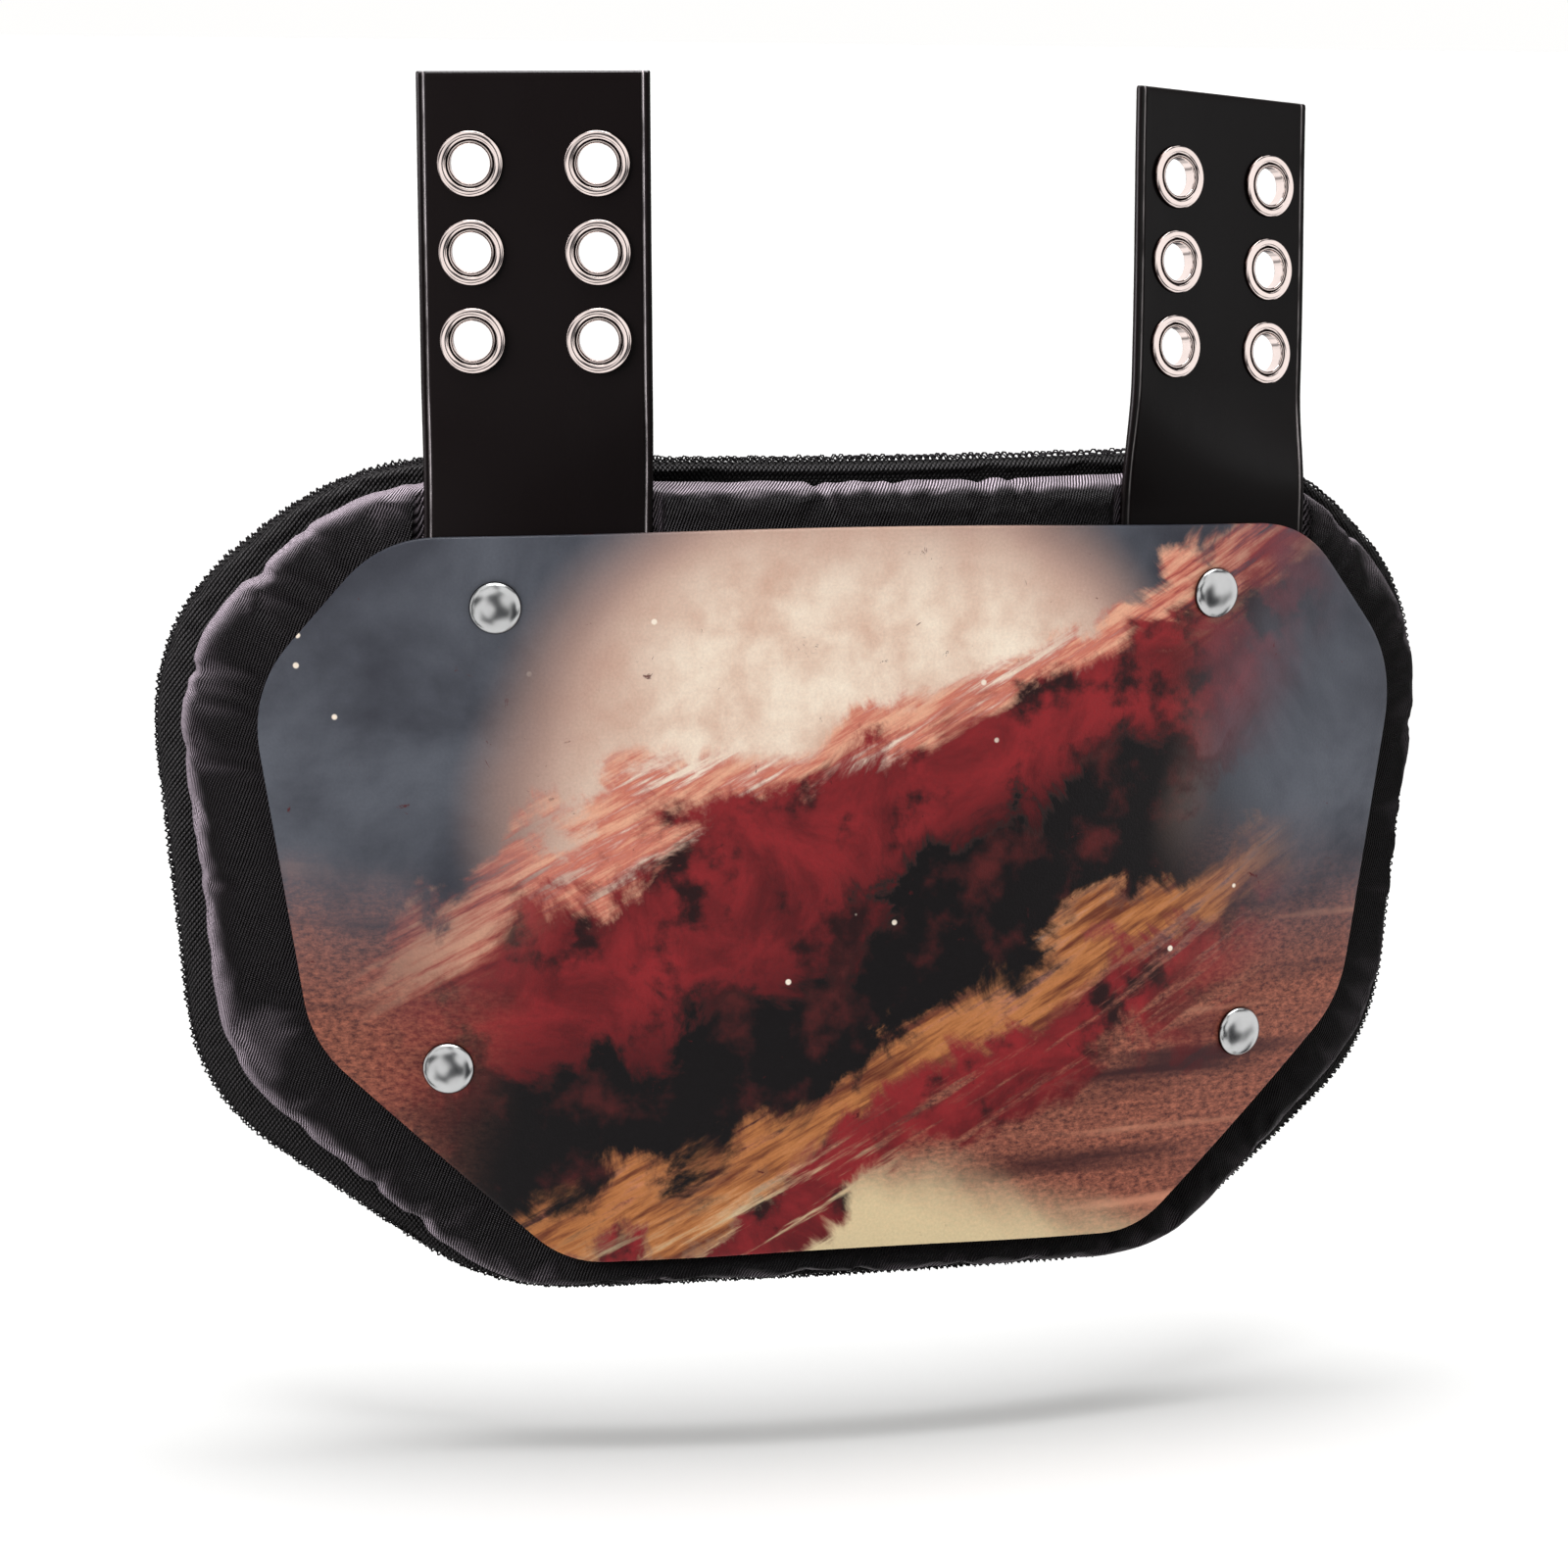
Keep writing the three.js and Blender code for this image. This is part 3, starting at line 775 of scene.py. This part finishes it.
def nylon_rows(stations):
    """The nylon's rows: a flat band beside the plate, a quarter roll down to the ridge, then the
    sewn edge tucked in behind it. The sewn edge is gathered, and the gathers die out inwards."""
    s = settings()
    pulled = gathers(stations, length=1080, count=46, seed=7, deepest=s.gather_depth)
    turn = np.radians(np.linspace(0, 90, 12))
    flat_outs = np.linspace(0, ROLL_FROM, 5)[:-1]
    roll_outs = ROLL_FROM + (1 - ROLL_FROM) * np.sin(turn)
    tucked_outs = (0.985, 0.94, 0.86, 0.78)
    outs = np.concatenate([flat_outs, roll_outs, tucked_outs])
    falls = s.pad_shoulder * (1 - np.cos(turn))
    depths = np.concatenate([0 * flat_outs, falls, (9.9, 11.2, 12.2, s.pad_thickness)])
    pulls = np.concatenate([flat_outs**5, roll_outs**5, np.ones(len(tucked_outs))])
    rows = []
    for out, depth, pull in zip(outs, depths, pulls):
        loop = outline(out, 0, 0, stations)
        inward = outward_normals(loop) * (pulled * pull)[:, None]
        rows.append((loop - inward, nylon_front() + depth))
    return rows, pulled


def build_nylon_pad():
    """The nylon pad, swollen by the simulation, creased at its gathers and let in behind the
    straps."""
    inner = np.linspace(0.1, 0.96, 9)
    rows, pulled = nylon_rows(PAD_STATIONS)
    flat = filled_grid(rows, PAD_STATIONS, inner)
    # Free from the flat band's second ring to the roll's last but one.
    first = len(inner) + 1
    flat = puffed("nylon_sewn", flat, first, first + 13, settings().pressure, 0.006)
    flat = refined(flat)
    press_creases(flat, pulled)
    front = nylon_front()
    # The filled middle stays level, and the swollen border may stand a little proud of it.
    proud = 0.9 * smoothstep(np.arange(len(flat)), 20, 28)[:, None]
    flat[..., 1] = np.maximum(flat[..., 1], front - proud)
    deepest = behind_straps(flat.reshape(-1, 3)).reshape(flat.shape[:2])
    flat[..., 1] = np.maximum(flat[..., 1], deepest)
    pad, points = grid_body("nylon_pad", flat)
    set_vector_attribute(pad, "cloth", cloth_coordinates(points, front))
    finish_piece(pad, ribbed_nylon(), "nylon", "front_pad")


def press_creases(flat, pulled):
    """Presses each gather's crease into the nylon: deepest at the sewn edge and gone about a
    centimetre in from it. What a notch stands out by over its neighbours sets the crease."""
    around = np.convolve(np.tile(pulled, 3), np.ones(9) / 9, "same")
    neighbours = around[len(pulled) : -len(pulled)]
    narrow = np.repeat(pulled - neighbours, 2)
    ridge = outline(1, 0, 0, flat.shape[1])
    inside = np.linalg.norm(flat[..., [0, 2]] - ridge, axis=-1)
    press = narrow * np.exp(-((inside / 7) ** 2)) * 0.8
    flat[..., 1] += np.where(flat[..., 1] < 14, press, 0)


def mesh_rows(stations):
    """The mesh pad's rows: out of the dark gutter behind the nylon's seam, round a full roll and
    back to the flat side that lies on the wearer."""
    thickness = settings().mesh_thickness
    table = (
        # out, deep
        (-0.55, 0.0), (-0.2, 0.0), (0.15, 0.0), (0.4, -0.03), (0.62, -0.02), (0.8, 0.06),
        (0.92, 0.19), (0.985, 0.33), (1.0, 0.47), (0.985, 0.62), (0.93, 0.76), (0.82, 0.88),
        (0.66, 0.96), (0.45, 1.0),
    )
    return [
        (outline(1, out, 0, stations), mesh_front() + thickness * deep) for out, deep in table
    ]


def build_mesh_pad():
    """The mesh pad, swollen by the simulation."""
    inner = np.linspace(0.1, 0.95, 9)
    flat = filled_grid(mesh_rows(PAD_STATIONS), PAD_STATIONS, inner)
    # Free from the rows' fourth ring to their last.
    first = len(inner) + 3
    flat = puffed("mesh_sewn", flat, first, first + 10, settings().pressure * 0.6, 0.005)
    pad, points = grid_body("mesh_pad_cover", refined(flat))
    set_vector_attribute(pad, "cloth", cloth_coordinates(points, mesh_front()))
    finish_piece(pad, knitted_mesh(), "mesh", "mesh_pad")


def build_rim_loops():
    """A net of thread round the mesh's rim: closed strands that wave out and back in turn, so
    that neighbours cross and leave small open cells."""
    s = settings()
    steps_per_loop = 6
    stations = s.loops * steps_per_loop
    phase = np.arange(stations) * 2 * np.pi / steps_per_loop
    random = np.random.default_rng(11)
    table = (
        # out, deep, phase in turns, proud
        (0.9, 0.15, 0.0, 0.9), (0.97, 0.3, 0.5, 1.3), (1.0, 0.47, 0.0, 1.5),
        (0.97, 0.64, 0.5, 1.3),
    )
    points = []
    faces = []
    for number, (out, deep, shift, proud) in enumerate(table):
        loop = outline(1, out, 0, stations)
        turn = phase + np.pi * 2 * shift
        size = np.repeat(random.uniform(0.55, 1.15, s.loops), steps_per_loop)
        away = 0.2 + proud * size * 0.5 * (1 + np.sin(turn))
        laid = loop + outward_normals(loop) * away[:, None]
        depth = mesh_front() + s.mesh_thickness * deep + np.cos(turn) * 0.9
        tube, quads = closed_tube(bend(np.column_stack([laid[:, 0], depth, laid[:, 1]])), 0.24 * MM, 4)
        points.append(tube)
        faces.append(quads + number * len(tube))
    net = new_object("mesh_rim_loops", np.vstack(points), np.vstack(faces).tolist())
    finish_piece(net, loop_thread(), "mesh")


def closed_tube(path, radius, sides):
    """A thin tube along a closed path: at each point a small ring across the path's direction."""
    tangent = np.roll(path, -1, axis=0) - np.roll(path, 1, axis=0)
    tangent /= np.linalg.norm(tangent, axis=1, keepdims=True)
    side = np.cross(tangent, (0.0, 1.0, 0.0))
    side /= np.linalg.norm(side, axis=1, keepdims=True)
    other = np.cross(tangent, side)
    turn = np.linspace(0, 2 * np.pi, sides, endpoint=False)
    ring = side[:, None] * np.cos(turn)[None, :, None] + other[:, None] * np.sin(turn)[None, :, None]
    points = (path[:, None] + radius * ring).reshape(-1, 3)
    i, j = np.meshgrid(np.arange(len(path)), np.arange(sides), indexing="ij")
    here = i * sides + j
    beside = i * sides + (j + 1) % sides
    after = (i + 1) % len(path) * sides
    quads = np.stack([here, beside, after + (j + 1) % sides, after + j], -1).reshape(-1, 4)
    return points, quads


def strap_section(half, thickness):
    """The strap's cross-section, clockwise seen from above: two broad faces, a fine groove inside
    each side edge, and rounded edges."""
    flat_half = half - 0.9
    groove = half - HEM
    beside = np.array([-0.5, -0.2, 0, 0.2, 0.5])
    even = np.linspace(-flat_half, flat_half, 33)
    across = np.unique(np.concatenate([even, groove + beside, -groove + beside]))
    dip = 0.28 * np.exp(-(((np.abs(across) - groove) / 0.24) ** 2))
    crown = 0.12 * (1 - (across / half) ** 2)
    front = np.column_stack([across, dip - crown])
    turn = np.radians(np.linspace(-75, 75, 6))
    edge = np.column_stack([flat_half + 0.9 * np.cos(turn), thickness / 2 * (1 + np.sin(turn))])
    back = np.column_stack([across[::-1], np.full(len(across), thickness)])
    other = np.column_stack([-edge[::-1, 0], edge[::-1, 1]])
    return np.vstack([front, edge, back, other])


def build_straps():
    """The two straps, pinched at their ends, with a slight wave where they hang free."""
    s = settings()
    vinyl = glossy_vinyl()
    section = strap_section(s.strap_width / 2, s.strap_thickness)
    count = len(section)
    middle = s.strap_thickness / 2
    low = STRAP_FOOT
    for hand, seat in STRAP_SEATS.items():
        high = HANG_HEIGHT + seat.raised + STRAP_HEAD
        body = np.linspace(low + 1.5, high - 1.2, 90)
        up = np.concatenate([[low, low + 0.4], body, [high - 0.35, high]])
        pinch = np.ones(len(up))
        pinch[[0, -1]] = 0.45
        pinch[[1, -2]] = 0.85
        across = np.broadcast_to(section[:, 0], (len(up), count)).copy()
        across[[0, -1]] *= 0.994
        deep = middle + (section[:, 1] - middle) * pinch[:, None]
        phase = 0.0 if hand == "left" else 2.1
        slack = 0.22 * np.sin(up / 17 + phase)[:, None] * smoothstep(up, 105, 130)[:, None]
        points = strap_points(hand, across, deep + slack, up[:, None]).reshape(-1, 3)
        ends = [points[:count].mean(0), points[-count:].mean(0)]
        strap = new_object(
            f"strap_{hand}_vinyl", np.vstack([points, ends]), ring_faces(len(up), count)
        )
        cut_eyelet_holes(strap, hand)
        set_vector_attribute(strap, "strap", strap_coordinates(hand, read_points(strap)))
        finish_piece(strap, vinyl, "vinyl", f"strap_{hand}")


def turned_body(name, profile, place, closed):
    """A turned piece: the profile's (radius, out) pairs in millimetres, carried round its axis,
    which place puts on the face."""
    sides = TURNED_SIDES
    radius, out = np.asarray(profile, float).T
    turn = np.linspace(0, 2 * np.pi, sides, endpoint=False)
    local = np.stack(
        [radius[:, None] * np.cos(turn), np.broadcast_to(-out[:, None], (len(out), sides)),
         radius[:, None] * np.sin(turn)], -1,
    ).reshape(-1, 3) * MM
    origin, axes = place
    if closed:
        faces = np.array(ring_faces(len(out) + 1, sides, False)) % len(local)
        return new_object(name, origin + local @ axes.T, faces.tolist())
    ends = np.array([[0, -out[0], 0], [0, -out[-1], 0]]) * MM
    faces = ring_faces(len(out), sides)
    return new_object(name, origin + np.vstack([local, ends]) @ axes.T, faces)


def mark_turning(obj, place):
    """Notes where each point of a turned piece lies from its axis, in millimetres."""
    origin, axes = place
    set_vector_attribute(obj, "turned", (read_points(obj) - origin) @ axes / MM)


def eyelet_places(hand):
    """The place and directions of each of a strap's eyelets, row by row from the top."""
    axes = strap_axes(STRAP_SEATS[hand])
    across = settings().strap_width / 2 - EYELET_FROM_SIDE
    return [
        (strap_points(hand, side * across, 0.0, eyelet_height(hand, row)), axes)
        for row in range(EYELET_ROWS)
        for side in (-1, 1)
    ]


def cut_eyelet_holes(strap, hand):
    """Cuts the six holes that the eyelets' barrels pass through."""
    joined = bmesh.new()
    profile = [(EYELET_HOLE, -8), (EYELET_HOLE, 6)]
    for place in eyelet_places(hand):
        cutter = turned_body("cutter", profile, place, closed=False)
        joined.from_mesh(cutter.data)
        bpy.data.objects.remove(cutter)
    bmesh.ops.recalc_face_normals(joined, faces=joined.faces)
    mesh = bpy.data.meshes.new("cutters")
    joined.to_mesh(mesh)
    joined.free()
    tool = bpy.data.objects.new("cutters", mesh)
    bpy.context.scene.collection.objects.link(tool)
    cut = strap.modifiers.new("holes", "BOOLEAN")
    cut.operation = "DIFFERENCE"
    cut.solver = "EXACT"
    cut.object = tool
    apply_modifiers(strap)
    bpy.data.objects.remove(tool)
    strap.data.shade_smooth()
    strap.data.set_sharp_from_angle(angle=np.radians(40))


def eyelet_profile(thickness):
    """The eyelet's section: a broad crowned flange, a fine step, the barrel's rolled lip, the
    bore and the ring on the back."""
    turn = np.radians(np.linspace(180, 0, 17))
    flange = np.column_stack([7.3 + 1.2 * np.cos(turn), 0.3 + 0.95 * np.sin(turn) ** 0.6])
    lip_turn = np.radians(np.linspace(0, 180, 13))
    lip = np.column_stack([5.55 + 0.45 * np.cos(lip_turn), 0.55 + 0.55 * np.sin(lip_turn)])
    back = -thickness
    ring_turn = np.radians(np.linspace(180, 360, 9))
    ring = np.column_stack([6.6 + 1.5 * np.cos(ring_turn), back - 0.25 + 0.65 * np.sin(ring_turn)])
    return np.vstack([
        [(6.0, 0.15)], lip, [(EYELET_BORE, 0.1), (EYELET_BORE, back - 0.2)], ring,
        [(8.1, back - 0.12), (6.05, back - 0.12), (6.05, 0.1), (8.45, 0.1)], flange[::-1],
    ])


def build_eyelets():
    """The twelve eyelets, each named by its strap and numbered from the top row."""
    profile = eyelet_profile(settings().strap_thickness)
    # Painted shade: dark rings of colour inside the lip, between the lip and the flange, and round the
    # flange's outer rim.
    shaded_grooves = [(5.38, 0.18), (6.02, 0.42), (8.5, 0.3)]
    metal = polished_metal("plated_eyelet", rgb(250, 236, 230), 0.05, shaded_grooves)
    for hand in STRAP_SEATS:
        for number, place in enumerate(eyelet_places(hand), 1):
            name = f"eyelet_{hand}_{number}"
            eyelet = turned_body(f"{name}_metal", profile, place, closed=True)
            eyelet.data.set_sharp_from_angle(angle=np.radians(50))
            mark_turning(eyelet, place)
            finish_piece(eyelet, metal, "metal", name)
            leave_unlit(eyelet)


def rivet_profile(end):
    """The rivet's section from its back washer along the shank and over the head's dome."""
    turn = np.radians(np.linspace(90, 0, 16))[:-1]
    dome = np.column_stack([6.9 * np.sin(turn), 0.45 + 2.6 * np.cos(turn) ** 0.9])
    shank = [(5.0, end + 0.05), (5.0, end + 1), (2.4, end + 1.05), (2.4, 0.15), (6.6, 0.1)]
    return np.vstack([shank, dome, [(0.4, 3.05)]])


def build_rivets():
    """The four rivets, each named by its level and side."""
    # Painted shade: a dark ring of colour round the dome's rim, where it meets the plate.
    metal = polished_metal("plated_rivet", rgb(204, 207, 207), 0.17, [(6.95, 0.4)])
    profile = rivet_profile(-(nylon_front() + settings().pad_thickness))
    for level, (along, up) in (("upper", UPPER_RIVET), ("lower", LOWER_RIVET)):
        for hand, side in (("left", -1), ("right", 1)):
            turn = side * along / BEND_RADIUS
            axes = np.array(Matrix.Rotation(turn, 3, "Z"))
            place = (bend(np.array([side * along, 0, up])), axes)
            name = f"rivet_{level}_{hand}"
            rivet = turned_body(f"{name}_metal", profile, place, closed=False)
            rivet.data.set_sharp_from_angle(angle=np.radians(50))
            mark_turning(rivet, place)
            finish_piece(rivet, metal, "metal", name)
            leave_unlit(rivet)


# Stage

# A camera like the photograph's, fitted to where the rivets and eyelets show in it, at a chosen
# distance: degrees, millimetres and pixels of the 1600 pixel frame.
CAMERA_AZIMUTH = -14.88
CAMERA_ELEVATION = 9.92
CAMERA_ROLL = 0.81
CAMERA_DISTANCE = 1212.5
CAMERA_TARGET = (-20.1, 0.0, -139.1)
CAMERA_FOCAL_PIXELS = 4646.6
PHOTO_PIXELS = 1600
SENSOR = 36.0
FLOOR_HEIGHT = -318
UNLIT = "not lit by the soft lights"


def place_camera():
    """Adds the camera and makes it the scene's own."""
    azimuth, elevation = np.radians([CAMERA_AZIMUTH, CAMERA_ELEVATION])
    back = Vector((
        np.sin(azimuth) * np.cos(elevation), -np.cos(azimuth) * np.cos(elevation), np.sin(elevation),
    ))
    right = Vector((np.cos(azimuth), np.sin(azimuth), 0))
    up = back.cross(right)
    axes = Matrix((right, up, back)).transposed() @ Matrix.Rotation(np.radians(CAMERA_ROLL), 3, "Z")
    data = bpy.data.cameras.new("camera")
    data.sensor_width = SENSOR
    data.lens = CAMERA_FOCAL_PIXELS / PHOTO_PIXELS * SENSOR
    data.clip_end = 100
    camera = bpy.data.objects.new("camera", data)
    place = (Vector(CAMERA_TARGET) + back * CAMERA_DISTANCE) * MM
    camera.matrix_world = Matrix.Translation(place) @ axes.to_4x4()
    bpy.context.scene.collection.objects.link(camera)
    bpy.context.scene.camera = camera


def soft_light(name, place, target, size, power, colour, unlit):
    """A soft rectangular light, aimed at a point, which doesn't light the unlit collection's
    members."""
    data = bpy.data.lights.new(name, "AREA")
    data.shape = "RECTANGLE"
    data.size, data.size_y = size
    data.energy = power
    data.color = colour
    lamp = bpy.data.objects.new(name, data)
    towards = Vector(target) - Vector(place)
    lamp.matrix_world = Matrix.Translation(place) @ towards.to_track_quat("-Z", "Y").to_matrix().to_4x4()
    lamp.visible_camera = False
    lamp.light_linking.receiver_collection = unlit
    bpy.context.scene.collection.objects.link(lamp)


def studio_world():
    """White to the camera. For the surfaces, a soft fill that is strongest level with the part
    and weak overhead, and for reflections a room of broad bright and dark patches."""
    s = settings()
    world = bpy.data.worlds.new("studio")
    bpy.context.scene.world = world
    world.use_nodes = True
    world.node_tree.nodes.clear()
    graph = Graph(world.node_tree)
    place = graph.coordinates("Generated")
    _, _, height = graph.split(place)
    room = graph.node("ShaderNodeValToRGB", {}, graph.noise(place, 1.7, 1.0))
    ramp = room.link.node.color_ramp.elements
    ramp[0].position = 0.38
    ramp[0].color = (0.04, 0.04, 0.045, 1)
    ramp[1].position = 0.48
    ramp[1].color = (1, 0.97, 0.97, 1)

    def background(colour, strength):
        return graph.node("ShaderNodeBackground", {}, colour, strength)

    def choose(ray, other, this):
        """this for the named kind of ray, and other for the rest."""
        share = graph.node("ShaderNodeLightPath", {}, output=f"Is {ray} Ray")
        return graph.node("ShaderNodeMixShader", {}, share, other, this)

    fill = background((1, 0.99, 0.975, 1), height.ramp(0.02, 0.5, s.fill, s.fill * 0.04))
    seen = choose("Glossy", fill, background(room, s.room))
    seen = choose("Camera", seen, background((1, 0.995, 0.985, 1), 1.0))
    graph.node("ShaderNodeOutputWorld", {}, seen, output=None)


def leave_unlit(obj):
    """Keeps the soft lights off an object."""
    unlit = bpy.data.collections[UNLIT]
    unlit.objects.link(obj)
    unlit.collection_objects[-1].light_linking.link_state = "EXCLUDE"


def overhead_sun(strength, width):
    """Even light from straight above, as wide as this many degrees, which whitens the floor and
    leaves the part's soft shadow on it."""
    data = bpy.data.lights.new("overhead", "SUN")
    data.energy = strength
    data.angle = np.radians(width)
    lamp = bpy.data.objects.new("overhead", data)
    bpy.context.scene.collection.objects.link(lamp)


def build_stage():
    """The camera, the world, the floor and the lights."""
    bpy.context.scene.view_settings.view_transform = "Standard"
    place_camera()
    studio_world()
    side = 30.0
    corners = np.array([(-side, -side), (side, -side), (side, side), (-side, side)])
    points = np.column_stack([corners, np.full(4, FLOOR_HEIGHT * MM)])
    floor = new_object("floor", points, [(0, 1, 2, 3)], smooth=False)
    floor.data.materials.append(pale_floor())
    floor.visible_glossy = False
    unlit = bpy.data.collections.new(UNLIT)
    leave_unlit(floor)
    middle = (0, 0, -0.13)
    soft_light("left_light", (-1.0, -0.2, 0.35), middle, (0.7, 0.9), 62, (1, 0.95, 1), unlit)
    soft_light("right_light", (1.3, -0.75, 0.3), middle, (0.3, 0.6), 1.5, (0.96, 0.98, 1), unlit)
    soft_light("top_light", (-0.1, 0.1, 0.95), middle, (0.9, 0.45), 60, (1, 0.97, 1), unlit)
    overhead_sun(settings().overhead, 46)


# The add-on


def length_setting(name, description, millimetres):
    """A length with its default in millimetres."""
    return bpy.props.FloatProperty(
        name=name, description=description, default=millimetres * MM, min=0.1 * MM, max=1,
        unit="LENGTH", precision=5,
    )


def strength_setting(name, description, default):
    """A plain number, such as a light's strength."""
    return bpy.props.FloatProperty(
        name=name, description=description, default=default, min=0, max=20
    )


def colour_setting(name, description, colour):
    """A linear colour with its alpha."""
    return bpy.props.FloatVectorProperty(
        name=name, description=description, default=colour, subtype="COLOR", size=4, min=0, max=1
    )


class BackPlateSettings(bpy.types.PropertyGroup):
    """The lengths, strengths and colours of the back plate that a user may change."""

    plate_thickness: length_setting("Plate thickness", "Thickness of the printed plate", 2.2)
    pad_thickness: length_setting("Nylon pad thickness", "Thickness of the nylon pad", 12.3)
    pad_shoulder: length_setting("Nylon shoulder", "Depth over which the nylon rolls down", 8.0)
    gather_depth: length_setting("Gather depth", "How deep the seam's gathers are", 1.6)
    mesh_thickness: length_setting("Mesh pad thickness", "Thickness of the mesh pad", 9.7)
    strap_width: length_setting("Strap width", "Width of each strap", 60.0)
    strap_thickness: length_setting("Strap thickness", "Thickness of each strap", 2.2)
    rib_gap: length_setting("Rib gap", "Distance between the nylon's ribs", 0.8)
    cell: length_setting("Mesh cell", "Width of the mesh's cells", 1.9)
    loops: bpy.props.IntProperty(
        name="Rim loops", description="Loops round the mesh's rim", default=520, min=10, max=2000
    )
    pressure: strength_setting("Pressure", "How hard the padding presses the cloth", 2.5)
    fill: strength_setting("Fill light", "Strength of the level fill", 1.95)
    overhead: strength_setting("Overhead light", "Strength of the light from above", 3.0)
    room: strength_setting("Room", "Strength of the room in reflections", 1.1)
    slate: colour_setting("Slate", "Upper ground of the print", rgb(48, 50, 60))
    cream: colour_setting("Cream", "Glow of the print", rgb(250, 234, 214))
    crimson: colour_setting("Crimson", "Red of the print", rgb(146, 28, 34))


class Step:
    """What the operators have in common."""

    bl_options = {"REGISTER", "UNDO"}


class BACKPLATE_OT_stage(Step, bpy.types.Operator):
    """Adds the camera, the floor and the soft studio light"""

    bl_idname = "backplate.stage"
    bl_label = "Studio"

    def execute(self, context):
        build_stage()
        return {"FINISHED"}


class BACKPLATE_OT_plate(Step, bpy.types.Operator):
    """Adds the bent plate with its print"""

    bl_idname = "backplate.plate"
    bl_label = "Printed plate"

    def execute(self, context):
        build_plate()
        return {"FINISHED"}


class BACKPLATE_OT_nylon(Step, bpy.types.Operator):
    """Adds the nylon pad with its gathered seam"""

    bl_idname = "backplate.nylon"
    bl_label = "Nylon pad"

    def execute(self, context):
        build_nylon_pad()
        return {"FINISHED"}


class BACKPLATE_OT_mesh(Step, bpy.types.Operator):
    """Adds the mesh pad and the loops along its rim"""

    bl_idname = "backplate.mesh"
    bl_label = "Mesh pad"

    def execute(self, context):
        build_mesh_pad()
        build_rim_loops()
        return {"FINISHED"}


class BACKPLATE_OT_straps(Step, bpy.types.Operator):
    """Adds the two vinyl straps with their eyelet holes"""

    bl_idname = "backplate.straps"
    bl_label = "Straps"

    def execute(self, context):
        build_straps()
        return {"FINISHED"}


class BACKPLATE_OT_eyelets(Step, bpy.types.Operator):
    """Adds the eyelets of both straps"""

    bl_idname = "backplate.eyelets"
    bl_label = "Eyelets"

    def execute(self, context):
        build_eyelets()
        return {"FINISHED"}


class BACKPLATE_OT_rivets(Step, bpy.types.Operator):
    """Adds the four domed rivets"""

    bl_idname = "backplate.rivets"
    bl_label = "Rivets"

    def execute(self, context):
        build_rivets()
        return {"FINISHED"}


OPERATORS = (
    BACKPLATE_OT_stage,
    BACKPLATE_OT_plate,
    BACKPLATE_OT_nylon,
    BACKPLATE_OT_mesh,
    BACKPLATE_OT_straps,
    BACKPLATE_OT_eyelets,
    BACKPLATE_OT_rivets,
)


class BACKPLATE_PT_panel(bpy.types.Panel):
    """Lists the steps and the settings in the sidebar"""

    bl_idname = "BACKPLATE_PT_panel"
    bl_label = "Back plate"
    bl_space_type = "VIEW_3D"
    bl_region_type = "UI"
    bl_category = "Back plate"

    def draw(self, context):
        for name in BackPlateSettings.__annotations__:
            self.layout.prop(context.scene.back_plate, name)
        for operator in OPERATORS:
            self.layout.operator(operator.bl_idname)


def register():
    for cls in (BackPlateSettings, *OPERATORS, BACKPLATE_PT_panel):
        bpy.utils.register_class(cls)
    bpy.types.Scene.back_plate = bpy.props.PointerProperty(type=BackPlateSettings)


def unregister():
    del bpy.types.Scene.back_plate
    for cls in (BACKPLATE_PT_panel, *reversed(OPERATORS), BackPlateSettings):
        bpy.utils.unregister_class(cls)


def main():
    register()
    for operator in OPERATORS:
        getattr(bpy.ops.backplate, operator.bl_idname.split(".")[1])()


if __name__ == "__main__":
    main()
